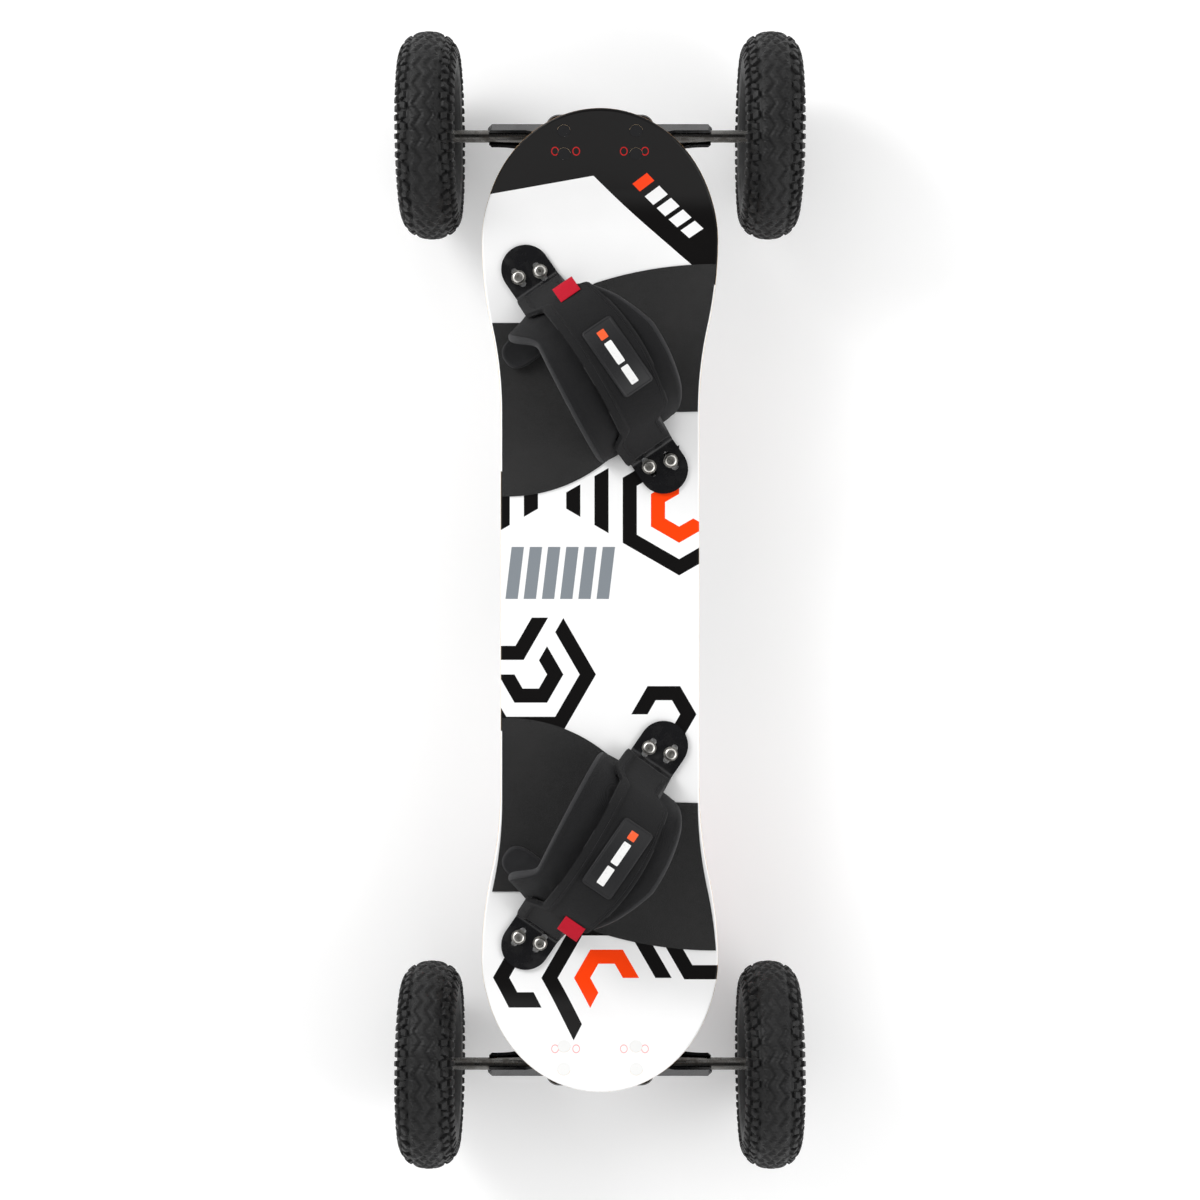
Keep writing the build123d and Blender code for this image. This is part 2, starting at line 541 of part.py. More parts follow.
def foot_bracket():
    """Steel foot with a rounded end and two slots, bent up to follow the pad."""
    height = bracket_top - SHEET / 2
    angle = radians(arm_angle())
    touch = (arm_radius * cos(angle), arch_centre + arm_radius * sin(angle))
    path = FilletPolyline((bracket_end, height), (bracket_bend, height), touch, radius=bend_radius)
    low = BRACKET_SHIFT - BRACKET_WIDTH / 2
    body = along_foot(trace(path, SHEET), low, low + BRACKET_WIDTH)
    round_centre = bracket_end - BRACKET_WIDTH / 2
    plan = Pos(BRACKET_SHIFT, round_centre) * Circle(BRACKET_WIDTH / 2)
    plan += Pos(BRACKET_SHIFT, round_centre / 2) * Rectangle(BRACKET_WIDTH, round_centre)
    body &= plate(plan, 0, deck_top + PAD_OUTER)
    for x, y in binding_bolt_places()[:2]:
        slot = Rot(0, 0, 90) * SlotCenterToCenter(SLOT_TRAVEL, 2 * (BOLT_RADIUS + LOOSE))
        body -= plate(Pos(x, y) * slot, deck_top - 1, deck_top + SHEET + 1)
    return body


def brackets():
    """The two brackets of one binding are the same part turned half round."""
    far = foot_bracket()
    near = Pos(2 * BRACKET_SHIFT, 0, 0) * Rot(0, 0, 180) * far
    return [far, near]


def foot_pad():
    """Half-round foam arch standing on the grip sheet."""
    radius = PAD_OUTER - PAD_THICKNESS / 2
    return around(radius, 0, 180, PAD_THICKNESS, PAD_FROM, PAD_TO)


def strap():
    """Band over the pad whose straight ends lie on the brackets."""
    angle = arm_angle()
    run = bracket_bend * sin(radians(angle)) - bend_radius - STRAP_SHORT
    path = CenterArc((0, arch_centre), strap_radius, angle, 180 - 2 * angle)
    ends = [Line(path @ 0, path @ 0 - (path % 0) * run), Line(path @ 1, path @ 1 + (path % 1) * run)]
    return along_foot(trace([path, *ends], STRAP_THICKNESS), STRAP_FROM, STRAP_TO)


def badge():
    """Plain rubber plate on the strap."""
    radius = strap_radius + (STRAP_THICKNESS + BADGE_THICKNESS) / 2
    half = degrees(BADGE_LENGTH / 2 / radius)
    low = badge_centre - BADGE_WIDTH / 2
    return around(radius, 90 - half, 90 + half, BADGE_THICKNESS, low, low + BADGE_WIDTH)


def pull_tab():
    """Webbing loop at the strap's free end, standing off towards the nose."""
    radius = strap_radius + (STRAP_THICKNESS + TAB_THICKNESS) / 2 + GAP
    start = radians(TAB_ANGLE)
    tab = Rectangle(TAB_LENGTH, TAB_THICKNESS, align=(Align.MIN, Align.CENTER))
    tab = Pos(radius * cos(start), arch_centre + radius * sin(start)) * Rot(0, 0, -TAB_DROP) * tab
    return along_foot(tab, badge_centre - TAB_WIDTH / 2, badge_centre + TAB_WIDTH / 2)


def binding_fixings():
    """Button-head bolts, their washers and the tee nuts they screw into."""
    top = bracket_top
    seat = top + BINDING_WASHER_THICK
    washer = rod(BINDING_WASHER, top, seat, bore=BOLT_RADIUS + LOOSE)
    head = rod(2 * BOLT_RADIUS, seat, seat + BINDING_HEAD)
    head = fillet(head.edges().group_by(Axis.Z)[-1], BINDING_HEAD * 0.7)
    head -= plate(RegularPolygon(BOLT_RADIUS * 0.65, 6, major_radius=False), seat + 1, seat + BINDING_HEAD + 1)
    bolt = head + rod(BOLT_RADIUS, deck_underside + TEE_FLANGE, seat)
    nut = tee_nut() - rod(BOLT_RADIUS + LOOSE / 2, deck_underside - 1, deck_top)
    places = [Pos(x, y, 0) for x, y in binding_bolt_places()]
    return [[place * part for place in places] for part in (bolt, washer, nut)]


def grip_pad():
    """Grip sheet for the front foot, cut to the deck's edge and clear of the two brackets."""
    beyond = 2 * NOSE_RADIUS
    left_top, notch, crest_start, crest, crest_end = GRIP_UPPER
    right_bottom, dip, arc_start, arc_middle, arc_end = GRIP_LOWER
    edges = [
        Line((-beyond, left_top), notch),
        Line(notch, crest_start),
        ThreePointArc(crest_start, crest, crest_end),
        Line(crest_end, (beyond, crest_end[1])),
        Line((beyond, crest_end[1]), (beyond, right_bottom)),
        Line((beyond, right_bottom), dip),
        Line(dip, arc_start),
        ThreePointArc(arc_start, arc_middle, arc_end),
        Line(arc_end, (-beyond, arc_end[1])),
        Line((-beyond, arc_end[1]), (-beyond, left_top)),
    ]
    sheet = plate(make_face(edges) & deck_outline(GRIP_EDGE), deck_top, arch_centre)
    foot = Rectangle(BRACKET_WIDTH + 2 * LOOSE, 2 * (bracket_end - bracket_bend + 3 * SHEET))
    for end in (1, -1):
        sheet -= binding_frame() * Pos(BRACKET_SHIFT, end * bracket_end, 0) * plate(foot, 0, arch_centre + 1)
    return sheet


# ---------------------------------------------------------------- every node
def put(name, *shapes):
    """Write one node: one solid, or a group of separate solids."""
    export_step(shapes[0] if len(shapes) == 1 else Compound(children=list(shapes)), f"parts/{name}.step")


def write_board():
    put("deck", deck())
    stance_plane = Plane(origin=(0, STANCE_CENTRE, 0), z_dir=(0, 1, 0))
    grip = grip_pad()
    put("front_grip_pad", grip)
    put("rear_grip_pad", mirror(grip, stance_plane))
    for name, shapes in (("brackets", brackets()), ("foot_pad", [foot_pad()]), ("strap", [strap()])):
        front, rear = front_and_rear(shapes)
        put(f"front_{name}", *front)
        put(f"rear_{name}", *rear)
    bolts, washers, nuts = binding_fixings()
    shared = {"pull_tabs": [pull_tab()], "strap_badges": [badge()],
              "binding_bolts": bolts, "binding_washers": washers, "binding_tee_nuts": nuts}
    for name, shapes in shared.items():
        front, rear = front_and_rear(shapes)
        put(name, *front, *rear)


def write_trucks():
    axle_frames = {"front": axle_front.location, "rear": half_turn * axle_front.location}
    bolts, nuts = truck_fixings()
    put("truck_bolts", *[frame * bolt for frame in axle_frames.values() for bolt in bolts])
    put("truck_nuts", *[frame * nut for frame in axle_frames.values() for nut in nuts])
    pieces = {"base_plate": [base_plate()], "kingpin": [kingpin()], "kingpin_nut": kingpin_nut(),
              "hanger": [hanger()], "axle": axle(), "pivot_bushes": pivot_bushes(), "springs": springs(),
              "dampers": dampers(), "spring_screws": spring_screws(), "axle_nuts": axle_nuts()}
    for end, frame in axle_frames.items():
        for name, shapes in pieces.items():
            put(f"{end}_{name}", *[frame * shape for shape in shapes])


def write_wheels():
    outer = hub_half()
    pieces = {"tyre": [tyre()], "inner_tube": [inner_tube()], "hub_outer_half": [outer],
              "hub_inner_half": [mirror(outer, Plane.YZ)], "bearings": bearings(), "hub_screws": hub_screws()}
    for end, along in (("front", 1), ("rear", -1)):
        for side, across in (("right", 1), ("left", -1)):
            place = Pos(across * WHEEL_OFFSET, along * WHEELBASE / 2, TYRE_RADIUS)
            for name, shapes in pieces.items():
                turned_out = shapes if across > 0 else [mirror(shape, Plane.YZ) for shape in shapes]
                put(f"{end}_{side}_{name}", *[place * shape for shape in turned_out])


os.makedirs("parts", exist_ok=True)
write_board()
write_trucks()
write_wheels()
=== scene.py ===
"""Mountainboard: the finishes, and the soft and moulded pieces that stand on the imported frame. Metres, +Z up."""
from math import acos, cos, degrees, exp, hypot, pi, radians, sin, sqrt, tan

import bmesh
import bpy
import numpy as np
from mathutils import Matrix, Vector, noise


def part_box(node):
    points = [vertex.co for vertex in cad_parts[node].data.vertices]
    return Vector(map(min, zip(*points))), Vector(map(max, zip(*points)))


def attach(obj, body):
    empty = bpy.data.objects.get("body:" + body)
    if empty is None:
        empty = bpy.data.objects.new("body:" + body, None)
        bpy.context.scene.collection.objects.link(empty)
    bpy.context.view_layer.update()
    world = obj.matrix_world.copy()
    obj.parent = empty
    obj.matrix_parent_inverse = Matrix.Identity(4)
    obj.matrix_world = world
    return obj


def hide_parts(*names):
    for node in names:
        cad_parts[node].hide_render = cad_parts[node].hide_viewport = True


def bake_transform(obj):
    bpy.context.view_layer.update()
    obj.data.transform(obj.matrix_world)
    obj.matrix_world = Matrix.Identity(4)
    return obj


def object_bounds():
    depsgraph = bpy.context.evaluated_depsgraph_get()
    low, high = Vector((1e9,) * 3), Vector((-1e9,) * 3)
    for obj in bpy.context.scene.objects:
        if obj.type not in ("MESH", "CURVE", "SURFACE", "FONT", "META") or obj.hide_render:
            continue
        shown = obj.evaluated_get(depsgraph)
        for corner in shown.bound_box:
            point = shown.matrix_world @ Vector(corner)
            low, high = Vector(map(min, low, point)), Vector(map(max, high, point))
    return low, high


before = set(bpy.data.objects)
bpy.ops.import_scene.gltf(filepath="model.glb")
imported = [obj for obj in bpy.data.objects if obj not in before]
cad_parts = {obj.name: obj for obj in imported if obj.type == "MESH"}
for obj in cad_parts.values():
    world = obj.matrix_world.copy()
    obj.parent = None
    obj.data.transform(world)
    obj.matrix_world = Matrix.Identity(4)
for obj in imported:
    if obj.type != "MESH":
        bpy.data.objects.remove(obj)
cad_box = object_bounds()
MM = 0.001
ENDS = ("front", "rear")
WHEELS = [f"{end}_{side}" for end in ENDS for side in ("right", "left")]
TIP = radians(35)  # slope of the turned-up tips


# ---------------------------------------------------------------- deck
# Seven plies of maple pressed over a former so that both tips turn up, cut to shape, printed on both faces and
# lacquered. The cut edge is left clear, so its pale and dark plies show.
class Maths:
    """A number or colour that varies over a surface, used in ordinary arithmetic."""

    def __init__(self, finish, socket):
        self.finish, self.socket = finish, socket

    def run(self, operation, *others):
        return self.finish.node("Math", {"operation": operation}, dict(enumerate((self, *others))))

    def __add__(self, other):
        return self.run("ADD", other)

    def __sub__(self, other):
        return self.run("SUBTRACT", other)

    def __rsub__(self, other):
        return self.run("MULTIPLY", -1.0) + other

    def __mul__(self, other):
        return self.run("MULTIPLY", other)

    def __truediv__(self, other):
        return self.run("DIVIDE", other)

    def __mod__(self, other):
        return self.run("FLOORED_MODULO", other)

    def __abs__(self):
        return self.run("ABSOLUTE")

    def __gt__(self, other):
        return self.run("GREATER_THAN", other)

    def __lt__(self, other):
        return self.run("LESS_THAN", other)

    def __and__(self, other):
        return self.run("MINIMUM", other)

    def __or__(self, other):
        return self.run("MAXIMUM", other)

    __radd__, __rmul__ = __add__, __mul__

    def wave(self, length):
        """A sine from -1 to 1 that repeats each time this grows by a length."""
        return (self * (2 * pi / length)).run("SINE")


class Finish:
    """One material: its shader's constants, and nodes that vary it over the surface."""

    def __init__(self, name, constants):
        self.material = bpy.data.materials.new(name)
        self.material.use_nodes = True
        self.tree = self.material.node_tree
        self.shader = self.tree.nodes["Principled BSDF"]
        for socket, value in constants.items():
            self.shader.inputs[socket].default_value = value
        self.place = self.node("TexCoord", out="Object")

    def node(self, kind, settings=None, inputs=None, out=0):
        made = self.tree.nodes.new("ShaderNode" + kind)
        for name, value in (settings or {}).items():
            setattr(made, name, value)
        for name, value in (inputs or {}).items():
            if isinstance(value, Maths):
                self.tree.links.new(value.socket, made.inputs[name])
            else:
                made.inputs[name].default_value = value
        return Maths(self, made.outputs[out])

    def along(self, x, y, z):
        """Distance in millimetres along a direction."""
        return self.node("VectorMath", {"operation": "DOT_PRODUCT"}, {0: self.place, 1: (x, y, z)}, "Value") * 1000

    def stretched(self, x, y, z):
        """The place, in millimetres divided by a grain size in each direction."""
        grain = (1000 / x, 1000 / y, 1000 / z)
        return self.node("VectorMath", {"operation": "MULTIPLY"}, {0: self.place, 1: grain})

    def clouds(self, size, detail=3.0, where=None):
        """Smooth noise from 0 to 1 with features of a size in millimetres."""
        where = where or self.stretched(size, size, size)
        return self.node("TexNoise", {}, {"Vector": where, "Scale": 1.0, "Detail": detail, "Roughness": 0.6})

    def cells(self, size):
        """Distance to the nearest of many scattered points a size apart, in millimetres."""
        where = self.stretched(size, size, size)
        return self.node("TexVoronoi", {}, {"Vector": where, "Scale": 1.0, "Randomness": 1.0})

    def ramp(self, value, low, high, start=0.0, end=1.0):
        """A straight change from start to end while value goes from low to high."""
        return self.node("MapRange", {}, {"Value": value, 1: low, 2: high, 3: start, 4: end})

    def mix(self, mask, colour, other):
        """The colour where mask is 0 and the other where it is 1."""
        return self.node("Mix", {"data_type": "RGBA"}, {0: mask, 6: colour, 7: other}, out=2)

    def feed(self, socket, value):
        self.tree.links.new(value.socket, self.shader.inputs[socket])

    def bump(self, height, depth):
        """Relief of a depth in millimetres, in the normals alone."""
        relief = self.node("Bump", {}, {"Height": height, "Distance": depth * MM, "Strength": 1.0})
        self.feed("Normal", relief)

    def onto(self, *names):
        """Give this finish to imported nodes."""
        for name in names:
            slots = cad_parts[name].data.materials
            slots.clear()
            slots.append(self.material)


BLACK_PRINT = (0.006, 0.0055, 0.0055, 1)
WHITE_PRINT = (0.90, 0.90, 0.90, 1)
ORANGE_PRINT = (1.0, 0.055, 0.004, 1)
RED_PRINT = (0.86, 0.012, 0.012, 1)
GREY_PRINT = (0.225, 0.25, 0.275, 1)
MARK_ROWS, MARK_LINE, MARK_RADIUS = (-42.5, -22.5, 22.5, 42.5), 424.0, 3.2
DECK_THICK, DECK_PLIES, BEND_AT = 12.0, 7, 379.3  # the tips turn up this far from the middle
HEXAGON_STEP = 13.55  # every band is this wide, and its edges lie at whole steps from its hexagon's middle


def hexagon_band(x, y, centre, inner, outer, from_degrees, to_degrees, pointed=False):
    """Part of a hexagonal ring; pointed turns a corner up. Sides run between two angles counted anticlockwise."""
    right, up = x - centre[0], y - centre[1]
    first, second = (abs(right), abs(up)) if pointed else (abs(up), abs(right))
    distance = first | (second * cos(pi / 6) + first * 0.5)
    ring = (distance > inner * HEXAGON_STEP) & (distance < outer * HEXAGON_STEP)
    turned = up.run("ARCTAN2", right) * degrees(1) + (720.0 - from_degrees)
    return ring & ((turned % 360.0) < to_degrees - from_degrees)


def above(x, y, left, right):
    """One side of a line between two points."""
    slope = (right[1] - left[1]) / (right[0] - left[0])
    return y > x * slope + (left[1] - slope * left[0])


def bars(x, y, low, high, count, lean, fill):
    """A row of upright bars, leaning a little, inside a rectangle."""
    pitch = (high[0] - low[0]) / count
    shifted = x - y * lean - low[0]
    row = ((shifted % pitch) < fill * pitch) & (shifted > 0) & (shifted < high[0] - low[0])
    return row & (y > low[1]) & (y < high[1])


def turned_about(x, y, centre, angle):
    """Coordinates counted from a centre along turned axes."""
    across, up = x - centre[0], y - centre[1]
    return across * cos(angle) + up * sin(angle), up * cos(angle) - across * sin(angle)


def drill_marks(x, y, places):
    """Thin printed rings that mark where trucks are drilled."""
    marks = x < -1000
    for across, along in places:
        off = ((x - across) * (x - across) + (y - along) * (y - along)).run("SQRT")
        marks = marks | (abs(off - MARK_RADIUS) < 0.45)
    return marks


def printed_deck():
    deck = Finish("deck_print", {"Coat Roughness": 0.2, "Coat IOR": 1.4, "Specular IOR Level": 0.12})
    x, y, z = deck.along(1, 0, 0), deck.along(0, 1, 0), deck.along(0, 0, 1)
    facing = deck.node("NewGeometry", out="Normal")
    upward = deck.node("SeparateXYZ", {}, {0: facing}, "Z")

    # Upper face: white, a black nose with a roof-shaped edge, and hexagon bands in black and orange.
    nose = (above(x, y, (-105.8, 388.0), (-6.3, 403.6)) | above(x, y, (-6.3, 403.6), (88.2, 321.8))) & (y > 300.0)
    black_bands = [
        ((-46.0, 95.5), 1, 2, -30, 30, True), ((-46.0, 95.5), 1, 2, 150, 210, True),
        ((-46.0, 95.5), 3, 4, -30, 30, True), ((-46.0, 95.5), 3, 4, 150, 210, True),
        ((76.0, 86.2), 3, 4, 90, 330, True),
        ((-66.5, -71.5), 1, 2, 180, 420), ((-66.5, -71.5), 3, 4, 180, 420),
        ((-96.8, -16.9), 2, 3, 240, 360), ((61.3, -109.8), 1, 2, -60, 180),
        ((6.3, -362.9), 3, 4, 0, 240), ((-71.5, -362.5), 1, 2, 120, 300), ((112.2, -310.0), 3, 4, 180, 300),
    ]
    black = nose
    for band in black_bands:
        black = black | hexagon_band(x, y, *band)
    orange = hexagon_band(x, y, (76.0, 86.2), 1, 2, 90, 330, True)
    orange = orange | hexagon_band(x, y, (6.3, -362.9), 1, 2, 0, 240)
    across, up = turned_about(x, y, (66.0, 376.0), radians(-42))
    orange = orange | bars(across, up, (-38, -8), (-26, 8), 1, 0.25, 0.8)
    label = bars(across, up, (-22, -8), (40, 8), 4, 0.25, 0.72)
    grey = bars(x, y, (-91.0, 1.0), (14.0, 51.0), 6, 0.12, 0.68)
    upper = deck.mix(black, WHITE_PRINT, BLACK_PRINT)
    upper = deck.mix(label, upper, WHITE_PRINT)
    upper = deck.mix(grey, upper, GREY_PRINT)
    upper = deck.mix(orange, upper, ORANGE_PRINT)
    marks = drill_marks(x, y, [(across, along) for along in (MARK_LINE, -MARK_LINE) for across in MARK_ROWS])
    upper = deck.mix(marks * 0.55, upper, RED_PRINT)

    # Lower face: black, with white wedges, two white zigzags, white bars and a run of red hexagon bands.
    zigzag_front = abs(y - 194.4) * -tan(pi / 6) - x
    zigzag_rear = abs(y + 153.2) * -tan(pi / 6) - x
    white = ((zigzag_front > 36.1) & (zigzag_front < 61.3)) | ((zigzag_rear > 22.3) & (zigzag_rear < 55.0))
    white = white | ((x - abs(y + 153.2) * tan(pi / 6)) > 69.0) & (y < 0.0)
    wedge = above(x, y, (99.5, 232.5), (3.5, 403.2)) & (y > 180.0)
    white = white | wedge | hexagon_band(x, y, (25.5, -222.6), 3, 4, 0, 240)
    across, up = turned_about(x, y, (-14.0, 290.0), radians(118))
    white = white | bars(across, up, (-98, -30), (98, 30), 4, 0.0, 0.74)
    red = bars(across, up, (-140, -30), (-112, 30), 1, 0.0, 0.9)
    for step in range(4):
        centre = (25.5 + 21.9 * step, -222.6 - 36.4 * step)
        red = red | hexagon_band(x, y, centre, 1, 2, 0, 240)
    lower = deck.mix(red, deck.mix(white, BLACK_PRINT, WHITE_PRINT), RED_PRINT)

    # Cut edge: plies that follow the turned-up tips, with the grain running along the board.
    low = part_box("deck")[0].z / MM
    flat_height = z - low
    tip_height = flat_height * cos(TIP) - (abs(y) - BEND_AT) * sin(TIP)
    height = flat_height.run("SMOOTH_MIN", tip_height, 6.0)
    ply = (height * (DECK_PLIES / DECK_THICK)) % 2.0
    grain = deck.clouds(1.0, 4.0, deck.stretched(1.2, 22.0, 0.8))
    pale = deck.mix(grain, (0.62, 0.42, 0.24, 1), (0.78, 0.60, 0.40, 1))
    dark = deck.mix(grain, (0.33, 0.19, 0.09, 1), (0.46, 0.28, 0.15, 1))
    edge = deck.mix(ply > 1.0, pale, dark)

    scuffs = deck.clouds(26.0, 8.0)
    rub = deck.ramp(scuffs, 0.62, 0.70)
    tint = deck.ramp(deck.clouds(90.0, 2.0), 0.3, 0.7, 0.965, 1.0)
    faces = deck.mix(upward > 0.0, lower, upper)
    colour = deck.mix(abs(upward) > 0.52, edge, faces)
    shade = deck.node("Mix", {"data_type": "RGBA", "blend_type": "MULTIPLY"}, {0: 1.0, 6: colour, 7: tint}, out=2)
    deck.feed("Base Color", shade)
    deck.feed("Roughness", deck.ramp(rub, 0.0, 1.0, 0.30, 0.42) + (abs(upward) < 0.52) * 0.2)
    deck.feed("Coat Weight", deck.ramp(abs(upward), 0.45, 0.6, 0.0, 0.16))
    deck.bump(deck.clouds(3.0, 2.0) * 0.25 + (abs(upward) < 0.52) * grain * 0.6, 0.12)
    deck.onto("deck")


printed_deck()


# ---------------------------------------------------------------- grip sheets
# Self-adhesive sheet faced with coarse black grit, one under each foot, cut to the deck's edge.
def grit():
    sheet = Finish("grip", {"Specular IOR Level": 0.2})
    grain, clump = sheet.cells(0.55), sheet.clouds(5.0)
    dust = sheet.ramp(sheet.clouds(60.0, 4.0), 0.35, 0.7)
    sparkle = sheet.node("TexWhiteNoise", {}, {"Vector": sheet.stretched(0.7, 0.7, 0.7)}) > 0.93
    base = sheet.mix(grain * 0.6 + clump * 0.4, (0.008, 0.008, 0.008, 1), (0.026, 0.026, 0.026, 1))
    base = sheet.mix(dust * 0.2, base, (0.045, 0.043, 0.041, 1))
    sheet.feed("Base Color", sheet.mix(sparkle, base, (0.085, 0.085, 0.09, 1)))
    sheet.feed("Roughness", sheet.ramp(grain, 0.1, 0.8, 0.62, 0.95))
    sheet.bump(grain + clump * 0.3, 0.35)
    sheet.onto("front_grip_pad", "rear_grip_pad")


grit()


# ---------------------------------------------------------------- hangers, base plates and brackets
# Pressed steel, 3 mm thick, welded and then powder coated satin black. The coat has a fine orange peel, and has
# dulled in patches where hands and mud rub it.
def powder_coat():
    steel = Finish("black_steel", {"Metallic": 0.0, "Specular IOR Level": 0.28, "Coat Roughness": 0.25})
    peel, rubbed = steel.clouds(1.6, 2.0), steel.ramp(steel.clouds(34.0, 6.0), 0.55, 0.68)
    dust = steel.ramp(steel.clouds(11.0, 8.0), 0.5, 0.8)
    base = steel.mix(rubbed, (0.0075, 0.0075, 0.0085, 1), (0.017, 0.017, 0.018, 1))
    steel.feed("Base Color", steel.mix(dust * 0.3, base, (0.03, 0.029, 0.027, 1)))
    steel.feed("Roughness", steel.ramp(rubbed, 0.0, 1.0, 0.26, 0.40) + dust * 0.08)
    steel.feed("Coat Weight", steel.ramp(rubbed, 0.0, 1.0, 0.16, 0.05))
    steel.bump(peel, 0.06)
    nodes = [f"{end}_{piece}" for end in ENDS for piece in ("hanger", "base_plate", "brackets")]
    steel.onto(*nodes)


powder_coat()


# ---------------------------------------------------------------- axles and kingpins
# Turned steel bar: bright where the tool has passed, with a rolled thread at each free end and a film of oil.
def turned_steel(name, direction, thread_from, thread_to, tone, nodes):
    """Thread rings lie between two distances along the bar's own direction, on both sides of the middle."""
    bar = Finish(name, {"Metallic": 1.0, "Specular IOR Level": 0.5})
    along = bar.along(*direction)
    far = abs(along)
    threaded = (far > thread_from) & (far < thread_to)
    ring = along.wave(1.25) * 0.5 + 0.5
    tool = along.wave(0.3) * 0.5 + 0.5
    oil = bar.ramp(bar.clouds(9.0, 5.0), 0.45, 0.7)
    light, oiled_and_shaded = (tone, tone * 0.98, tone * 0.94, 1), (tone * 0.45, tone * 0.40, tone * 0.34, 1)
    # Darker in random patches of oil film, and darker in the thread's grooves as painted shade.
    bar.feed("Base Color", bar.mix(oil * 0.7 + threaded * (1 - ring) * 0.3, light, oiled_and_shaded))
    bar.feed("Roughness", bar.ramp(oil, 0.0, 1.0, 0.22, 0.42))
    bar.bump(threaded * ring + (1 - threaded) * tool * 0.04, 0.45)
    bar.onto(*nodes)


turned_steel("axle_steel", (1, 0, 0), 187.0, 200.0, 0.15, ["front_axle", "rear_axle"])
turned_steel("front_kingpin_steel", (0, cos(TIP), sin(TIP)), 0.0, 392.0, 0.55, ["front_kingpin"])
turned_steel("rear_kingpin_steel", (0, -cos(TIP), sin(TIP)), 0.0, 392.0, 0.55, ["rear_kingpin"])


# ---------------------------------------------------------------- bright fixings
# Zinc-plated steel screws, nuts and washers, a little cloudy.
def bright_zinc():
    zinc = Finish("bright_steel", {"Metallic": 1.0})
    cloud, fine = zinc.clouds(4.0, 5.0), zinc.clouds(0.6, 3.0)
    zinc.feed("Base Color", zinc.mix(cloud, (0.50, 0.48, 0.44, 1), (0.80, 0.79, 0.76, 1)))
    zinc.feed("Roughness", zinc.ramp(cloud, 0.3, 0.7, 0.24, 0.40))
    zinc.bump(fine, 0.04)
    nodes = ["binding_bolts", "binding_washers"] + [f"{wheel}_hub_screws" for wheel in WHEELS]
    nodes += [f"{end}_{piece}" for end in ENDS for piece in ("spring_screws", "axle_nuts", "kingpin_nut")]
    zinc.onto(*nodes)


bright_zinc()


# ---------------------------------------------------------------- bolts under the deck and through the tips
# The tee nuts and truck nuts are black zinc. The truck bolts' heads are lacquered with the face they sit in.
def dark_zinc():
    zinc = Finish("dark_zinc", {"Metallic": 1.0})
    cloud = zinc.clouds(3.0, 5.0)
    zinc.feed("Base Color", zinc.mix(cloud, (0.045, 0.045, 0.05, 1), (0.11, 0.11, 0.115, 1)))
    zinc.feed("Roughness", zinc.ramp(cloud, 0.3, 0.7, 0.30, 0.45))
    zinc.bump(cloud, 0.03)
    zinc.onto("binding_tee_nuts", "truck_nuts")


def lacquered_bolts():
    bolt = Finish("lacquered_bolts", {"Specular IOR Level": 0.15})
    chipped = bolt.clouds(1.5, 4.0) > 0.72
    rear = bolt.along(0, 1, 0) < 0.0
    colour = bolt.mix(rear, (0.009, 0.009, 0.010, 1), (0.80, 0.80, 0.79, 1))
    bolt.feed("Base Color", bolt.mix(chipped, colour, (0.35, 0.34, 0.33, 1)))
    bolt.feed("Metallic", chipped * 0.9)
    bolt.feed("Roughness", bolt.ramp(bolt.clouds(2.0), 0.3, 0.7, 0.3, 0.45))
    bolt.bump(chipped * -1, 0.05)
    bolt.onto("truck_bolts")


dark_zinc()
lacquered_bolts()


# ---------------------------------------------------------------- springs and dampers
# Black-oxided spring wire, coiled with closed ends, round a cast rubber rod. Both are squeezed between the hanger and
# the base plate.
WIRE, COIL_RADIUS, COIL_TURNS = 1.75 * MM, 11.5 * MM, 7.0
CLOSED_WIRE, CLOSED_RISE = 0.10, 0.055  # share of the wire, and of the rise, in each closed end
COIL_STEPS, COIL_SIDES = 200, 12
DAMPER_LOW, DAMPER_GAP = 6.8 * MM, 4.0 * MM
DAMPER_RADIUS, DAMPER_BULGE, DAMPER_ROUND = 8.1 * MM, 0.5 * MM, 1.2 * MM
DAMPER_RINGS, DAMPER_SIDES = 24, 40
KINGPIN_AXIS = Vector((0, cos(TIP), sin(TIP)))
UP_TIP = Vector((0, -sin(TIP), cos(TIP)))
AXLE_HEIGHT, HALF_WHEELBASE = 0.100, 0.4525
SPRING_LOW, SPRING_HIGH, SPRING_ALONG, SPRING_SIDE = -5.7 * MM, 57.0 * MM, -14.0 * MM, 32.0 * MM


def spring_base(end, side):
    """The foot of a spring, and the direction from its foot to its head."""
    turn = Matrix.Rotation(0 if end == "front" else pi, 3, "Z")
    foot = Vector((0, HALF_WHEELBASE, AXLE_HEIGHT)) + SPRING_ALONG * KINGPIN_AXIS + SPRING_LOW * UP_TIP
    foot.x = side * SPRING_SIDE
    return turn @ foot, turn @ UP_TIP


def mesh_from(name, points, faces, finish, smooth=True, closed=True):
    """A new piece from points and faces. A closed one whose faces look inwards is turned round."""
    mesh = bpy.data.meshes.new(name)
    mesh.from_pydata([tuple(p) for p in points], [], faces)
    shape = bmesh.new()
    shape.from_mesh(mesh)
    if closed and shape.calc_volume(signed=True) < 0:
        mesh.flip_normals()
    shape.free()
    mesh.materials.append(finish.material)
    mesh.polygons.foreach_set("use_smooth", [smooth] * len(mesh.polygons))
    mesh.update()
    piece = bpy.data.objects.new(name, mesh)
    bpy.context.scene.collection.objects.link(piece)
    return piece


def tube_grid(rows, columns):
    """Quads of a tube: rows of points, each row closed on itself, with a fan of one polygon at each end."""
    faces = [list(range(columns))[::-1], [(rows - 1) * columns + i for i in range(columns)]]
    for row in range(rows - 1):
        for i in range(columns):
            j = (i + 1) % columns
            faces.append([row * columns + i, row * columns + j, (row + 1) * columns + j, (row + 1) * columns + i])
    return faces


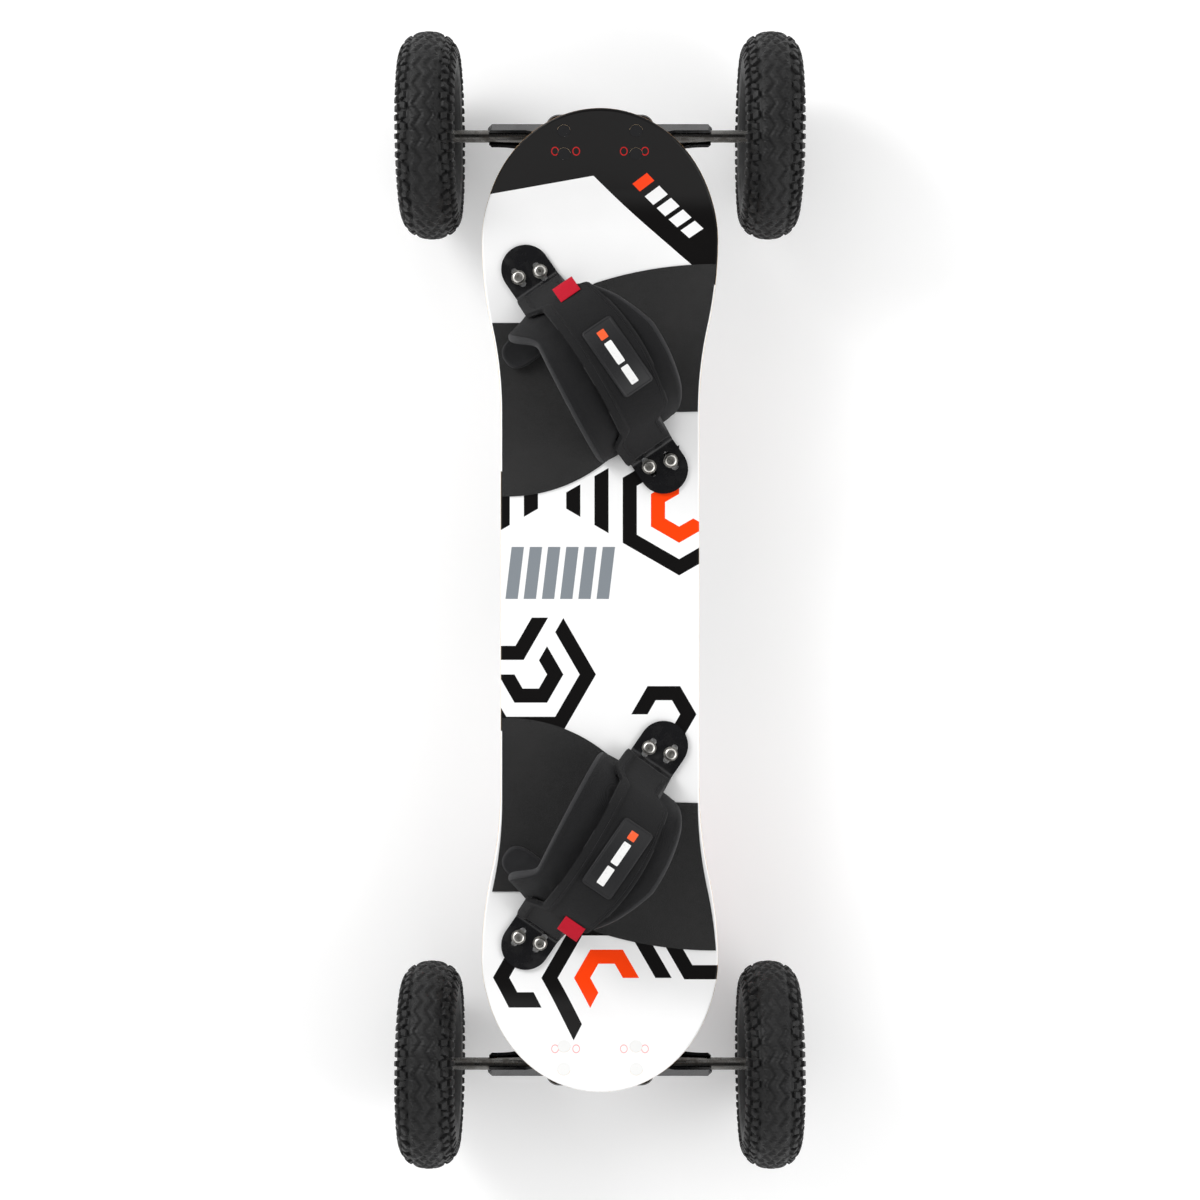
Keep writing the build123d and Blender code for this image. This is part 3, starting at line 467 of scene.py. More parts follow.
def ring_points(centre, side, third, radius, count):
    """Points round a circle that lies along two directions."""
    turns = [2 * pi * k / count for k in range(count)]
    return [centre + (side * cos(turn) + third * sin(turn)) * radius for turn in turns]


def coil_points(foot, upward):
    """A helix whose end turns lie flat and whose middle turns are open."""
    across = Vector((1, 0, 0))
    ahead = upward.cross(across)
    length = SPRING_HIGH - SPRING_LOW - 2 * WIRE
    centres = []
    for i in range(COIL_STEPS + 1):
        t = i / COIL_STEPS
        closed = min(t / CLOSED_WIRE, 1.0) + max((t - 1) / CLOSED_WIRE + 1, 0.0)
        open_share = min(max((t - CLOSED_WIRE) / (1 - 2 * CLOSED_WIRE), 0.0), 1.0)
        rise = CLOSED_RISE * closed + (1 - 2 * CLOSED_RISE) * open_share
        angle = 2 * pi * COIL_TURNS * t
        out = across * cos(angle) + ahead * sin(angle)
        centres.append((foot + upward * (WIRE + rise * length) + out * COIL_RADIUS, out))
    points = []
    for i, (centre, out) in enumerate(centres):
        before, after = centres[max(i - 1, 0)][0], centres[min(i + 1, COIL_STEPS)][0]
        forward = (after - before).normalized()
        side = (out - forward * out.dot(forward)).normalized()
        points += ring_points(centre, side, forward.cross(side), WIRE, COIL_SIDES)
    return points, tube_grid(COIL_STEPS + 1, COIL_SIDES)


def damper_points(foot, upward):
    """A rod with rounded ends that bulges a little in the middle."""
    across = Vector((1, 0, 0))
    ahead = upward.cross(across)
    low, high = DAMPER_LOW, SPRING_HIGH - SPRING_LOW - DAMPER_GAP
    points = []
    for i in range(DAMPER_RINGS + 1):
        t = i / DAMPER_RINGS
        end_round = min(min(t, 1 - t) / 0.06, 1.0)
        radius = DAMPER_RADIUS + DAMPER_BULGE * sin(pi * t) - DAMPER_ROUND * (1 - sqrt(1 - (1 - end_round) ** 2))
        points += ring_points(foot + upward * (low + (high - low) * t), across, ahead, radius, DAMPER_SIDES)
    return points, tube_grid(DAMPER_RINGS + 1, DAMPER_SIDES)


def spring_wire():
    wire = Finish("spring_steel", {"Metallic": 0.85})
    scale = wire.clouds(2.5, 5.0)
    wire.feed("Base Color", wire.mix(scale, (0.016, 0.016, 0.017, 1), (0.075, 0.072, 0.068, 1)))
    wire.feed("Roughness", wire.ramp(scale, 0.3, 0.7, 0.28, 0.45))
    wire.bump(scale, 0.05)
    return wire


def cast_rubber():
    rubber = Finish("elastomer", {"Specular IOR Level": 0.35})
    cloud = rubber.clouds(6.0, 4.0)
    rubber.feed("Base Color", rubber.mix(cloud, (0.020, 0.020, 0.021, 1), (0.045, 0.044, 0.043, 1)))
    rubber.feed("Roughness", rubber.ramp(cloud, 0.3, 0.7, 0.5, 0.68))
    rubber.bump(rubber.clouds(0.8), 0.05)
    rubber.onto("front_pivot_bushes", "rear_pivot_bushes")
    return rubber


wire_finish, rubber_finish = spring_wire(), cast_rubber()


def joined(name, pieces):
    """Several pieces made into one."""
    with bpy.context.temp_override(active_object=pieces[0], selected_editable_objects=pieces):
        bpy.ops.object.join()
    pieces[0].name = pieces[0].data.name = name
    return pieces[0]


for end in ENDS:
    for kind, shape, finish, slot in (("springs", coil_points, wire_finish, "spring_steel"),
                                      ("dampers", damper_points, rubber_finish, "elastomer")):
        both = []
        for side in (1, -1):
            foot, upward = spring_base(end, side)
            both.append(mesh_from(f"{end}_{kind}_{side}", *shape(foot, upward), finish))
        piece = joined(f"{end}_{kind}_sprung", both)
        middle = Vector((0, foot.y, foot.z))
        middle + upward * (SPRING_HIGH - SPRING_LOW)
        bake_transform(piece)
        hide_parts(f"{end}_{kind}")


# ---------------------------------------------------------------- tyres
# Moulded 8 x 2 inch air tyres. The casing is round, and its crown carries low zigzag ribs between two rows of
# blocks and square shoulder lugs. Each bead sits inside a rim flange.
TYRE_RADIUS, TYRE_PITCHES, TREAD_DEPTH = 100.0, 30, 3.0
TREAD_PITCH = 2 * pi * TYRE_RADIUS / TYRE_PITCHES
CASING_WIDE, CASING_HIGH, CASING_MIDDLE = 26.4, 24.6, 72.4  # half width, half height and radius of the section
AROUND, ACROSS, INSIDE = 660, 100, 40


def smooth_step(value, low, high):
    t = np.clip((value - low) / (high - low), 0, 1)
    return t * t * (3 - 2 * t)


def block(along, across, centre, size, lean):
    """Height of one kind of block: 1 inside a leaning rectangle that repeats once a pitch, and 0 outside."""
    shifted = along - centre[0] - lean * (across - centre[1])
    u = (shifted + TREAD_PITCH / 2) % TREAD_PITCH - TREAD_PITCH / 2
    inside = np.minimum(size[0] / 2 - np.abs(u), size[1] / 2 - np.abs(across - centre[1]))
    return smooth_step(inside, 0, 0.7)


def tread(along, across):
    """Relief of the crown: low zigzag ribs in the middle, leaning blocks beside them, and shoulder lugs."""
    half_pitch = TREAD_PITCH / 2
    wave = np.abs((along / TREAD_PITCH) % 1 - 0.5) * 4 - 1
    ribs = np.zeros_like(along)
    for middle in (-9.4, 0.0, 9.4):
        cut = smooth_step(np.abs((along + middle) % half_pitch - half_pitch / 2), 0.5, 1.1)
        ribs = np.maximum(ribs, smooth_step(2.9 - np.abs(across - middle - 3.0 * wave), 0, 0.8) * (0.6 + 0.4 * cut))
    height = (0.3 + 0.5 * ribs) * (1 - smooth_step(np.abs(across), 13.0, 15.5))
    for side in (1, -1):
        v = side * across
        u = along + (half_pitch if side < 0 else 0)
        blocks = [((0.0, 19.0), (8.0, 7.4), 0.45), ((half_pitch, 20.4), (6.8, 7.6), -0.45),
                  ((0.0, 29.6), (7.4, 9.4), 0.0), ((half_pitch, 31.0), (7.0, 7.4), 0.0)]
        for centre, size, lean in blocks:
            height = np.maximum(height, block(u, v, centre, size, lean))
    return height


def tyre_mesh(finish):
    """The casing's closed section, swept round X, with the tread raised from its outside."""
    sweep = np.linspace(0, 2 * pi, AROUND, endpoint=False)
    roll = np.radians(np.linspace(-152, 152, ACROSS))  # round the section, from bead to bead
    x = CASING_WIDE * np.sign(np.sin(roll)) * np.abs(np.sin(roll)) ** 0.92
    radius = CASING_MIDDLE + CASING_HIGH * np.sign(np.cos(roll)) * np.abs(np.cos(roll)) ** 0.94
    arc = np.concatenate([[0], np.cumsum(np.hypot(np.diff(x), np.diff(radius)))])
    arc -= arc[-1] / 2
    out_x, out_r = np.gradient(radius), -np.gradient(x)
    length = np.hypot(out_x, out_r)
    out_x, out_r = -out_x / length, -out_r / length
    flip = np.where(out_x * x + out_r * (radius - CASING_MIDDLE) < 0, -1, 1)
    out_x, out_r = out_x * flip, out_r * flip
    along, across = np.meshgrid(sweep * TYRE_RADIUS, arc, indexing="ij")
    fade = 1 - smooth_step(np.abs(across), 35.0, 39.0)
    moulded = 0.45 * sum(np.exp(-((np.abs(across) - ring) / 0.6) ** 2) for ring in (46.0, 49.0))
    lift = TREAD_DEPTH * tread(along, across) * fade + moulded  # two fine rings run round each sidewall
    px = x[None, :] + out_x[None, :] * lift
    pr = radius[None, :] + out_r[None, :] * lift
    inner_roll = np.radians(np.linspace(150, -150, INSIDE))
    inner_x = 21.5 * np.sin(inner_roll)
    inner_r = 72.6 + 20.0 * np.cos(inner_roll)
    bead_x, bead_r = np.array([13.8, 9.6]), np.array([48.2, 48.2])
    loop_x = np.concatenate([bead_x, inner_x, -bead_x[::-1]])
    loop_r = np.concatenate([bead_r, inner_r, bead_r[::-1]])
    count = len(loop_x)
    px = np.concatenate([px, np.repeat(loop_x[None, :], AROUND, 0)], 1)
    pr = np.concatenate([pr, np.repeat(loop_r[None, :], AROUND, 0)], 1)
    pr = np.minimum(pr, TYRE_RADIUS)
    columns = ACROSS + count
    points = np.stack([px, pr * np.cos(sweep)[:, None], pr * np.sin(sweep)[:, None]], -1).reshape(-1, 3) * MM
    row, column = np.meshgrid(np.arange(AROUND), np.arange(columns), indexing="ij")
    next_row, next_column = (row + 1) % AROUND, (column + 1) % columns
    quads = np.stack([row * columns + column, next_row * columns + column,
                      next_row * columns + next_column, row * columns + next_column], -1).reshape(-1, 4)
    mesh = bpy.data.meshes.new("tyre")
    mesh.vertices.add(len(points))
    mesh.vertices.foreach_set("co", points.ravel())
    mesh.loops.add(quads.size)
    mesh.loops.foreach_set("vertex_index", quads.ravel())
    mesh.polygons.add(len(quads))
    mesh.polygons.foreach_set("loop_start", np.arange(0, quads.size, 4))
    mesh.polygons.foreach_set("use_smooth", np.ones(len(quads), bool))
    mesh.materials.append(finish.material)
    mesh.update(calc_edges=True)
    mesh.validate()
    mesh.set_sharp_from_angle(angle=radians(38))
    return mesh


def tyre_rubber():
    rubber = Finish("tyre_rubber", {"Specular IOR Level": 0.24})
    dust, mottle = rubber.ramp(rubber.clouds(14.0, 6.0), 0.42, 0.75), rubber.clouds(2.2, 4.0)
    square = rubber.node("SeparateXYZ", {}, {0: rubber.place}, "Y")
    upright = rubber.node("SeparateXYZ", {}, {0: rubber.place}, "Z")
    radius = (square * square + upright * upright).run("SQRT") * 1000
    worn = rubber.ramp(radius, 97.6, 99.6)
    base = rubber.mix(mottle, (0.0032, 0.0032, 0.0034, 1), (0.0075, 0.0075, 0.008, 1))
    base = rubber.mix(worn * 0.75, base, (0.015, 0.015, 0.0155, 1))
    rubber.feed("Base Color", rubber.mix(dust * 0.2, base, (0.026, 0.0255, 0.0245, 1)))
    rubber.feed("Roughness", rubber.ramp(dust + worn * 0.5, 0.0, 1.5, 0.46, 0.78))
    rubber.bump(mottle + rubber.clouds(0.7) * 0.4, 0.12)
    return rubber


tyre_shape = tyre_mesh(tyre_rubber())
for wheel in WHEELS:
    tyre = bpy.data.objects.new(f"{wheel}_treaded_tyre", tyre_shape)
    bpy.context.scene.collection.objects.link(tyre)
    low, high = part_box(f"{wheel}_tyre")
    tyre.location = (low + high) / 2
    tyre.rotation_euler = (0, 0, 0 if wheel.endswith("right") else pi)
    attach(tyre, f"{wheel}_wheel")
    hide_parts(f"{wheel}_tyre")


# ---------------------------------------------------------------- hubs, tubes and bearings
# Each wheel is two glass-filled nylon halves screwed together over a butyl tube, on two sealed steel bearings.
def glass_nylon():
    nylon = Finish("nylon", {"Specular IOR Level": 0.45})
    flow, speck = nylon.clouds(24.0, 5.0), nylon.cells(0.9)
    dust = nylon.ramp(nylon.clouds(9.0, 7.0), 0.5, 0.75)
    base = nylon.mix(flow, (0.010, 0.010, 0.011, 1), (0.022, 0.022, 0.023, 1))
    nylon.feed("Base Color", nylon.mix(dust * 0.35, base, (0.055, 0.054, 0.052, 1)))
    nylon.feed("Roughness", nylon.ramp(flow, 0.3, 0.7, 0.38, 0.55) + dust * 0.1)
    nylon.bump(speck * 0.6 + flow, 0.07)
    nylon.onto(*[f"{wheel}_hub_{half}_half" for wheel in WHEELS for half in ("outer", "inner")])


def butyl():
    tube = Finish("tube_rubber", {"Specular IOR Level": 0.35})
    bloom = tube.ramp(tube.clouds(7.0, 5.0), 0.45, 0.75)
    tube.feed("Base Color", tube.mix(bloom, (0.018, 0.018, 0.019, 1), (0.05, 0.05, 0.05, 1)))
    tube.feed("Roughness", tube.ramp(bloom, 0.0, 1.0, 0.45, 0.7))
    tube.bump(tube.clouds(1.0), 0.06)
    tube.onto(*[f"{wheel}_inner_tube" for wheel in WHEELS])


def sealed_bearings():
    ring = Finish("bearing_steel", {"Metallic": 1.0})
    polish, stain = ring.clouds(0.8, 3.0), ring.ramp(ring.clouds(6.0, 5.0), 0.5, 0.7)
    ring.feed("Base Color", ring.mix(stain * 0.5, (0.62, 0.61, 0.60, 1), (0.22, 0.20, 0.18, 1)))
    ring.feed("Roughness", ring.ramp(polish, 0.3, 0.7, 0.18, 0.32))
    ring.bump(polish, 0.02)
    ring.onto(*[f"{wheel}_bearings" for wheel in WHEELS])


glass_nylon()
butyl()
sealed_bearings()


# ---------------------------------------------------------------- foot pads
# A stitched half-round shell of foam between two faces of black knit. Its mouth flares out on the heel side, where
# the foot goes in, and its open edges are bound with folded tape. It is clamped between the strap and the deck.
STANCE = radians(34.6)  # each foot points this far off straight across the board
PAD_MIDDLE = 10.5  # the pad's middle is this far ahead of the middle of the arch
PAD_RADIUS, PAD_FOAM = 79.0, 12.0
SIDE_STEPS, LENGTH_STEPS = 120, 56


class Foot:
    """Places on one binding: u across the foot, f along it towards the toes, both in millimetres."""

    def __init__(self, end):
        low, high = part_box(f"{end}_foot_pad")
        self.side = 1 if end == "front" else -1
        self.base = low.z / MM
        self.toes = Vector((cos(STANCE), self.side * sin(STANCE), 0))
        self.across = Vector((sin(STANCE), -self.side * cos(STANCE), 0))
        middle = (low + high) / 2 / MM
        self.centre = Vector((middle.x, middle.y, 0)) - self.toes * PAD_MIDDLE

    def point(self, f, u, height):
        lean = 5.0 * height / PAD_RADIUS  # the arch leans back a little over the heel
        return (self.centre + self.toes * (f - lean) + self.across * u + Vector((0, 0, self.base + height))) * MM


def smooth_float(t):
    t = min(max(t, 0.0), 1.0)
    return t * t * (3 - 2 * t)


def instep(f):
    """The share of its height that the arch keeps: the instep drops towards the toes."""
    return 1 - 0.07 * smooth_float((f - 5) / 75)


def heel_edge(angle):
    """Where the mouth is: cut slantwise over the instep, and well back at the deck on the free side."""
    return -38.0 + 9.5 * cos(angle) - 23.0 * smooth_float((cos(angle) - 0.52) / 0.45)


def toe_edge(angle):
    return 67.0 - 26.0 * (1 - sin(angle)) - 17.0 * max(cos(angle), 0.0)


def arch(angle, t, depth):
    """A place on the pad: angle round it, t from heel to toe, depth down from its outer face."""
    f = heel_edge(angle) + (toe_edge(angle) - heel_edge(angle)) * t
    mouth = smooth_float((-f - 14) / 46)
    low_down = (1 - sin(angle)) ** 2
    flare = mouth * (1.0 - 9.0 * low_down * max(cos(angle), 0.0))
    swell = 1.6 * exp(-((f + 24) / 9) ** 2) + 1.4 * exp(-((f - 56) / 7) ** 2)
    radius = PAD_RADIUS + flare + swell - depth
    return f, -radius * cos(angle), radius * sin(angle) * instep(f)


def foam_thickness(t):
    """Full in the middle, and pinched where the binding tape closes the heel and toe edges."""
    edge = min(t, 1 - t) / 0.16
    pinch = sqrt(max(0.0, 1 - (1 - min(edge, 1.0)) ** 2))
    return PAD_FOAM * (0.30 + 0.70 * pinch)


def creases(f, angle):
    """Soft folds in the knit, strongest beside the strap."""
    wander = noise.noise(Vector((f * 0.035, angle * 2.2, 3.1))) * 1.5
    fine = noise.noise(Vector((f * 0.11, angle * 5.0, 7.7))) * 0.55
    tug = 0.8 * exp(-((f + 14) / 5) ** 2) * sin(angle * 21 + 2 * noise.noise(Vector((angle * 3, 0, 1))))
    pull = 0.8 * exp(-((f - 56) / 6) ** 2) * sin(angle * 17 + 1)
    return wander + fine + tug + pull


def pad_piece(end, finish):
    foot, points, columns = Foot(end), [], 2 * (LENGTH_STEPS + 1)
    for i in range(SIDE_STEPS + 1):
        angle = pi * i / SIDE_STEPS
        for j in range(columns):
            outside = j <= LENGTH_STEPS
            t = (j if outside else columns - 1 - j) / LENGTH_STEPS
            thick = foam_thickness(t)
            depth = (PAD_FOAM - thick) / 2 + (0 if outside else thick)
            f, u, height = arch(angle, t, depth)
            fold = creases(f, angle) * (0.5 if outside else 0.3) * sin(pi * t) ** 0.5
            edge_roll = 0.9 * exp(-((min(t, 1 - t) * 105 - 4.5) / 2.2) ** 2) * (1 if outside else -1)
            grow = 1 + (fold + edge_roll) / PAD_RADIUS
            points.append(foot.point(f, u * grow, max(height * grow, 0.4)))
    return mesh_from(f"{end}_padded_arch", points, tube_grid(SIDE_STEPS + 1, columns), finish)


def knit_face():
    knit = Finish("foam", {"Sheen Weight": 0.05, "Sheen Roughness": 0.5, "Specular IOR Level": 0.15})
    rib = knit.along(0.57, -0.82, 0.0).wave(0.9)
    cross = (knit.along(0.0, 0.0, 1.0) + knit.along(0.82, 0.57, 0.0)).wave(0.7)
    fuzz, patch = knit.clouds(0.9, 3.0), knit.clouds(28.0, 5.0)
    base = knit.mix(patch, (0.0035, 0.0035, 0.0037, 1), (0.008, 0.008, 0.0085, 1))
    knit.feed("Base Color", knit.mix((rib + cross) * 0.12 + fuzz * 0.25, base, (0.034, 0.034, 0.037, 1)))
    knit.feed("Roughness", knit.ramp(patch, 0.3, 0.7, 0.74, 0.92))
    knit.bump((rib + cross) * 0.25 + fuzz, 0.22)
    return knit


def binding_tape():
    """Folded woven tape."""
    tape = Finish("edge_tape", {"Sheen Weight": 0.05, "Specular IOR Level": 0.2})
    weave = tape.along(0.82, 0.57, 0.0).wave(1.1)
    fuzz = tape.clouds(1.2, 4.0)
    tape.feed("Base Color", tape.mix(fuzz, (0.012, 0.012, 0.013, 1), (0.030, 0.030, 0.032, 1)))
    tape.feed("Roughness", tape.ramp(fuzz, 0.3, 0.7, 0.6, 0.8))
    tape.bump(weave * 0.4 + fuzz, 0.18)
    return tape


def tape_piece(end, finish):
    """The tape round both open edges of the pad: a flattened loop of tape that hugs the edge."""
    foot, pieces, around, width = Foot(end), [], 14, 4.6
    for name, near in (("mouth", True), ("toe", False)):
        points = []
        for i in range(SIDE_STEPS + 1):
            angle = pi * i / SIDE_STEPS
            span = toe_edge(angle) - heel_edge(angle)
            for k in range(around):
                turn = 2 * pi * k / around
                reach = width * (cos(turn) * 0.5 + 0.5)  # distance in from the edge
                t = reach / span if near else 1 - reach / span
                thick = foam_thickness(max(reach, 0.5) / span)
                half = thick / 2 + 0.75
                f, u, height = arch(angle, t, PAD_FOAM / 2 - half * sin(turn))
                f += (-1.2 if near else 1.2) * (1 - reach / width)
                grow = 1 + 0.35 * noise.noise(Vector((angle * 9, k * 0.4, 5.0))) / PAD_RADIUS
                points.append(foot.point(f, u * grow, max(height * grow, 0.3)))
        pieces.append(mesh_from(f"{end}_{name}_tape", points, tube_grid(SIDE_STEPS + 1, around), finish))
    return joined(f"{end}_edge_tape", pieces)


def flap_piece(end, finish):
    """The pad's free side, turned in over the deck under the foot: a rounded leaf that rises to the wall."""
    foot, points = Foot(end), []
    rings, around = 14, 48
    middle, half, wall = (-47.0, -53.5), (22.0, 14.5), -44.0
    for i in range(2 * rings):
        under = i >= rings
        reach = (i + 0.5) / rings if not under else (2 * rings - i - 0.5) / rings
        edge = sqrt(max(0.0, 1 - reach ** 6))
        for k in range(around):
            turn = 2 * pi * k / around
            f = middle[0] + half[0] * reach * (1 if cos(turn) > 0 else -1) * abs(cos(turn)) ** 0.75
            u = middle[1] + half[1] * reach * (1 if sin(turn) > 0 else -1) * abs(sin(turn)) ** 0.8
            rise = 1.5 + 16.0 * max(0.0, (wall - u) / 24.0) ** 2
            hem = 1.0 * exp(-((reach - 0.86) / 0.07) ** 2)
            wrinkle = 0.5 * noise.noise(Vector((f * 0.12, u * 0.12, 2.0)))
            swell = -3.2 * edge if under else 3.2 * edge + hem + wrinkle
            points.append(foot.point(f, u, rise + 3.6 + swell))
    return mesh_from(f"{end}_pad_flap", points, tube_grid(2 * rings, around), finish)


knit_finish, tape_finish = knit_face(), binding_tape()
for end in ENDS:
    pad = pad_piece(end, knit_finish)
    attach(pad, "board")
    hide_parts(f"{end}_foot_pad")
    flap = flap_piece(end, tape_finish)
    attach(flap, "board")
    tape = tape_piece(end, tape_finish)
    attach(tape, "board")


# ---------------------------------------------------------------- straps
# A broad band of brushed loop fabric over foam. It follows the pad, its ends run down inside the brackets' arms,
# and its heel-side edge is folded over and stitched, which leaves a raised welt.
STRAP_RADIUS, STRAP_THICK, STRAP_STEPS, STRAP_ROWS = 83.2, 3.0, 150, 44
ARM_REACH, STRAP_END = 96.0, 9.0  # from the arch's middle to the arm's foot, and the strap's end above that
ARM_LEAN = acos(81.8 / ARM_REACH)  # the arms leave the arch at this angle above the deck
YARN_RADIUS, YARN_SIDES = 0.42 * MM, 6
HEEL_SEAM, TOE_SEAM = 8.2, 4.0  # rows of stitches, in from the heel-side and toe-side edges


def strap_line(s):
    """Across, height, and the outward direction along the strap; s runs from -1 to 1 over the arch."""
    arc = pi / 2 - ARM_LEAN
    distance = abs(s) * (STRAP_RADIUS * arc + ARM_REACH * sin(ARM_LEAN) - STRAP_END)
    side = 1 if s > 0 else -1
    if distance < STRAP_RADIUS * arc:
        angle = distance / STRAP_RADIUS
        return side * STRAP_RADIUS * sin(angle), STRAP_RADIUS * cos(angle), side * sin(angle), cos(angle)
    past = distance - STRAP_RADIUS * arc
    out = (side * sin(arc), cos(arc))
    return (STRAP_RADIUS * out[0] + side * past * cos(arc), STRAP_RADIUS * out[1] - past * sin(arc), *out)


def strap_edges(u):
    """Heel-side and toe-side edges of the strap; it is waisted at its ends and widest over the instep."""
    heel = -9.0 - 0.00108 * u * u - 0.044 * u
    toe = 49.5 - 0.0023 * (u + 3) ** 2
    tuck = smooth_float((u - 67) / 9)  # the fixed end is wrapped about the bracket's arm
    lead = smooth_float((-u - 66) / 8)
    heel += (-29.0 - heel) * tuck + (-26.8 - heel) * lead
    toe += (21.0 - toe) * tuck + (20.5 - toe) * lead
    return heel, toe


def strap_height(f, height):
    """The strap follows the instep's drop, less so low down."""
    return height * (1 - (1 - instep(f)) * min(1.0, height / 50))


def strap_piece(end, finish):
    foot, points, columns = Foot(end), [], 2 * (STRAP_ROWS + 1)
    for i in range(STRAP_STEPS + 1):
        u, height, out_u, out_h = strap_line(2 * i / STRAP_STEPS - 1)
        heel, toe = strap_edges(u)
        for j in range(columns):
            top = j <= STRAP_ROWS
            t = (j if top else columns - 1 - j) / STRAP_ROWS
            from_heel, from_toe = t * (toe - heel), (1 - t) * (toe - heel)
            f = heel + from_heel
            rounding = sqrt(max(0.0, 1 - (1 - min(min(from_heel, from_toe) / 1.6, 1.0)) ** 2))
            off = -STRAP_THICK / 2 * rounding
            if top:
                welt = 1.9 * smooth_float((10.5 - from_heel) / 1.6)
                sunk = 0.35 * exp(-((from_heel - HEEL_SEAM) / 0.5) ** 2)
                sunk += 0.35 * exp(-((from_toe - TOE_SEAM) / 0.6) ** 2)
                drape = 0.55 * noise.noise(Vector((f * 0.05, u * 0.035, 11.0)))
                off = (STRAP_THICK / 2 + welt) * rounding + drape - sunk
            points.append(foot.point(f, u + out_u * off, max(strap_height(f, height) + out_h * off, 1.0)))
    return mesh_from(f"{end}_loop_strap", points, tube_grid(STRAP_STEPS + 1, columns), finish)


def loop_fabric():
    loop = Finish("webbing", {"Sheen Weight": 0.06, "Sheen Roughness": 0.6, "Specular IOR Level": 0.1})
    tuft, brushed, patch = loop.cells(0.8), loop.clouds(2.4, 5.0), loop.clouds(30.0, 4.0)
    base = loop.mix(patch, (0.0028, 0.0028, 0.003, 1), (0.0065, 0.0065, 0.007, 1))
    loop.feed("Base Color", loop.mix(brushed * 0.4 + tuft * 0.2, base, (0.021, 0.021, 0.022, 1)))
    loop.feed("Roughness", loop.ramp(brushed, 0.3, 0.7, 0.8, 0.97))
    loop.bump(brushed + tuft * 0.7, 0.3)
    return loop


def thread():
    yarn = Finish("thread", {"Specular IOR Level": 0.2})
    twist = yarn.along(0.6, 0.6, 0.5).wave(0.6)
    yarn.feed("Base Color", yarn.mix(twist * 0.5 + 0.5, (0.012, 0.012, 0.013, 1), (0.034, 0.034, 0.036, 1)))
    yarn.feed("Roughness", yarn.ramp(yarn.clouds(1.0), 0.3, 0.7, 0.5, 0.7))
    yarn.bump(twist, 0.1)
    return yarn


def stitches(end, name, places, finish):
    """Short bars of thread; each place is two ends on the surface."""
    points, faces = [], []
    for start, stop in places:
        forward = (stop - start).normalized()
        side = forward.orthogonal().normalized()
        third = forward.cross(side)
        base = len(points)
        for t, scale in ((0, 0.5), (0.2, 1.0), (0.8, 1.0), (1, 0.5)):
            points += ring_points(start.lerp(stop, t), side, third, YARN_RADIUS * scale, YARN_SIDES)
        faces += [[base + v for v in face] for face in tube_grid(4, YARN_SIDES)]
    return mesh_from(f"{end}_{name}", points, faces, finish)


def strap_surface(foot, s, t, lift):
    """A place on the strap's outer face, lifted a little."""
    u, height, out_u, out_h = strap_line(s)
    heel, toe = strap_edges(u)
    f = heel + (toe - heel) * t
    off = STRAP_THICK / 2 + lift
    return foot.point(f, u + out_u * off, strap_height(f, height) + out_h * off)


def strap_stitching(end, finish):
    """One row beside the welt, and one inside the toe-side hem."""
    foot, places = Foot(end), []
    count = 70
    for i in range(-count + 6, count - 6):
        s0, s1 = (i + 0.15) / count, (i + 0.75) / count
        for inset, lift, from_heel in ((HEEL_SEAM, 1.75, True), (TOE_SEAM, 0.1, False)):
            ends = []
            for s in (s0, s1):
                heel, toe = strap_edges(strap_line(s)[0])
                t = inset / (toe - heel) if from_heel else 1 - inset / (toe - heel)
                ends.append(strap_surface(foot, s, t, lift))
            places.append(ends)
    return stitches(end, "strap_stitching", places, finish)


loop_finish, thread_finish = loop_fabric(), thread()
for end in ENDS:
    strap = strap_piece(end, loop_finish)
    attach(strap, "board")
    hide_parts(f"{end}_strap")
    sewing = strap_stitching(end, thread_finish)
    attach(sewing, "board")


# ---------------------------------------------------------------- badges and pull tabs
# A soft rubber plate, plain but for a raised rim and three stripes, is sewn to each strap. A folded loop of red
# webbing is sewn under the strap's free end, to pull it open by.
BADGE_HALF, BADGE_CORNER = (15.5, 36.5), 3.0
BADGE_MIDDLE = (22.5, 10.0)  # along and across the foot
TAB_MIDDLE = {"front": 19.0, "rear": 24.5}  # along the foot


def rounded_inset(a, b):
    """How far a point is inside the badge's rounded outline."""
    qx, qy = abs(a) - BADGE_HALF[0] + BADGE_CORNER, abs(b) - BADGE_HALF[1] + BADGE_CORNER
    return BADGE_CORNER - hypot(max(qx, 0), max(qy, 0)) - min(max(qx, qy), 0)


def on_badge(foot, f, u, lift):
    """A place over the strap, lifted above the surface that the badge lies on."""
    angle = u / (STRAP_RADIUS + 2)
    radius = STRAP_RADIUS + STRAP_THICK / 2 + 0.25 + lift
    return foot.point(f, radius * sin(angle), radius * cos(angle) * instep(f))


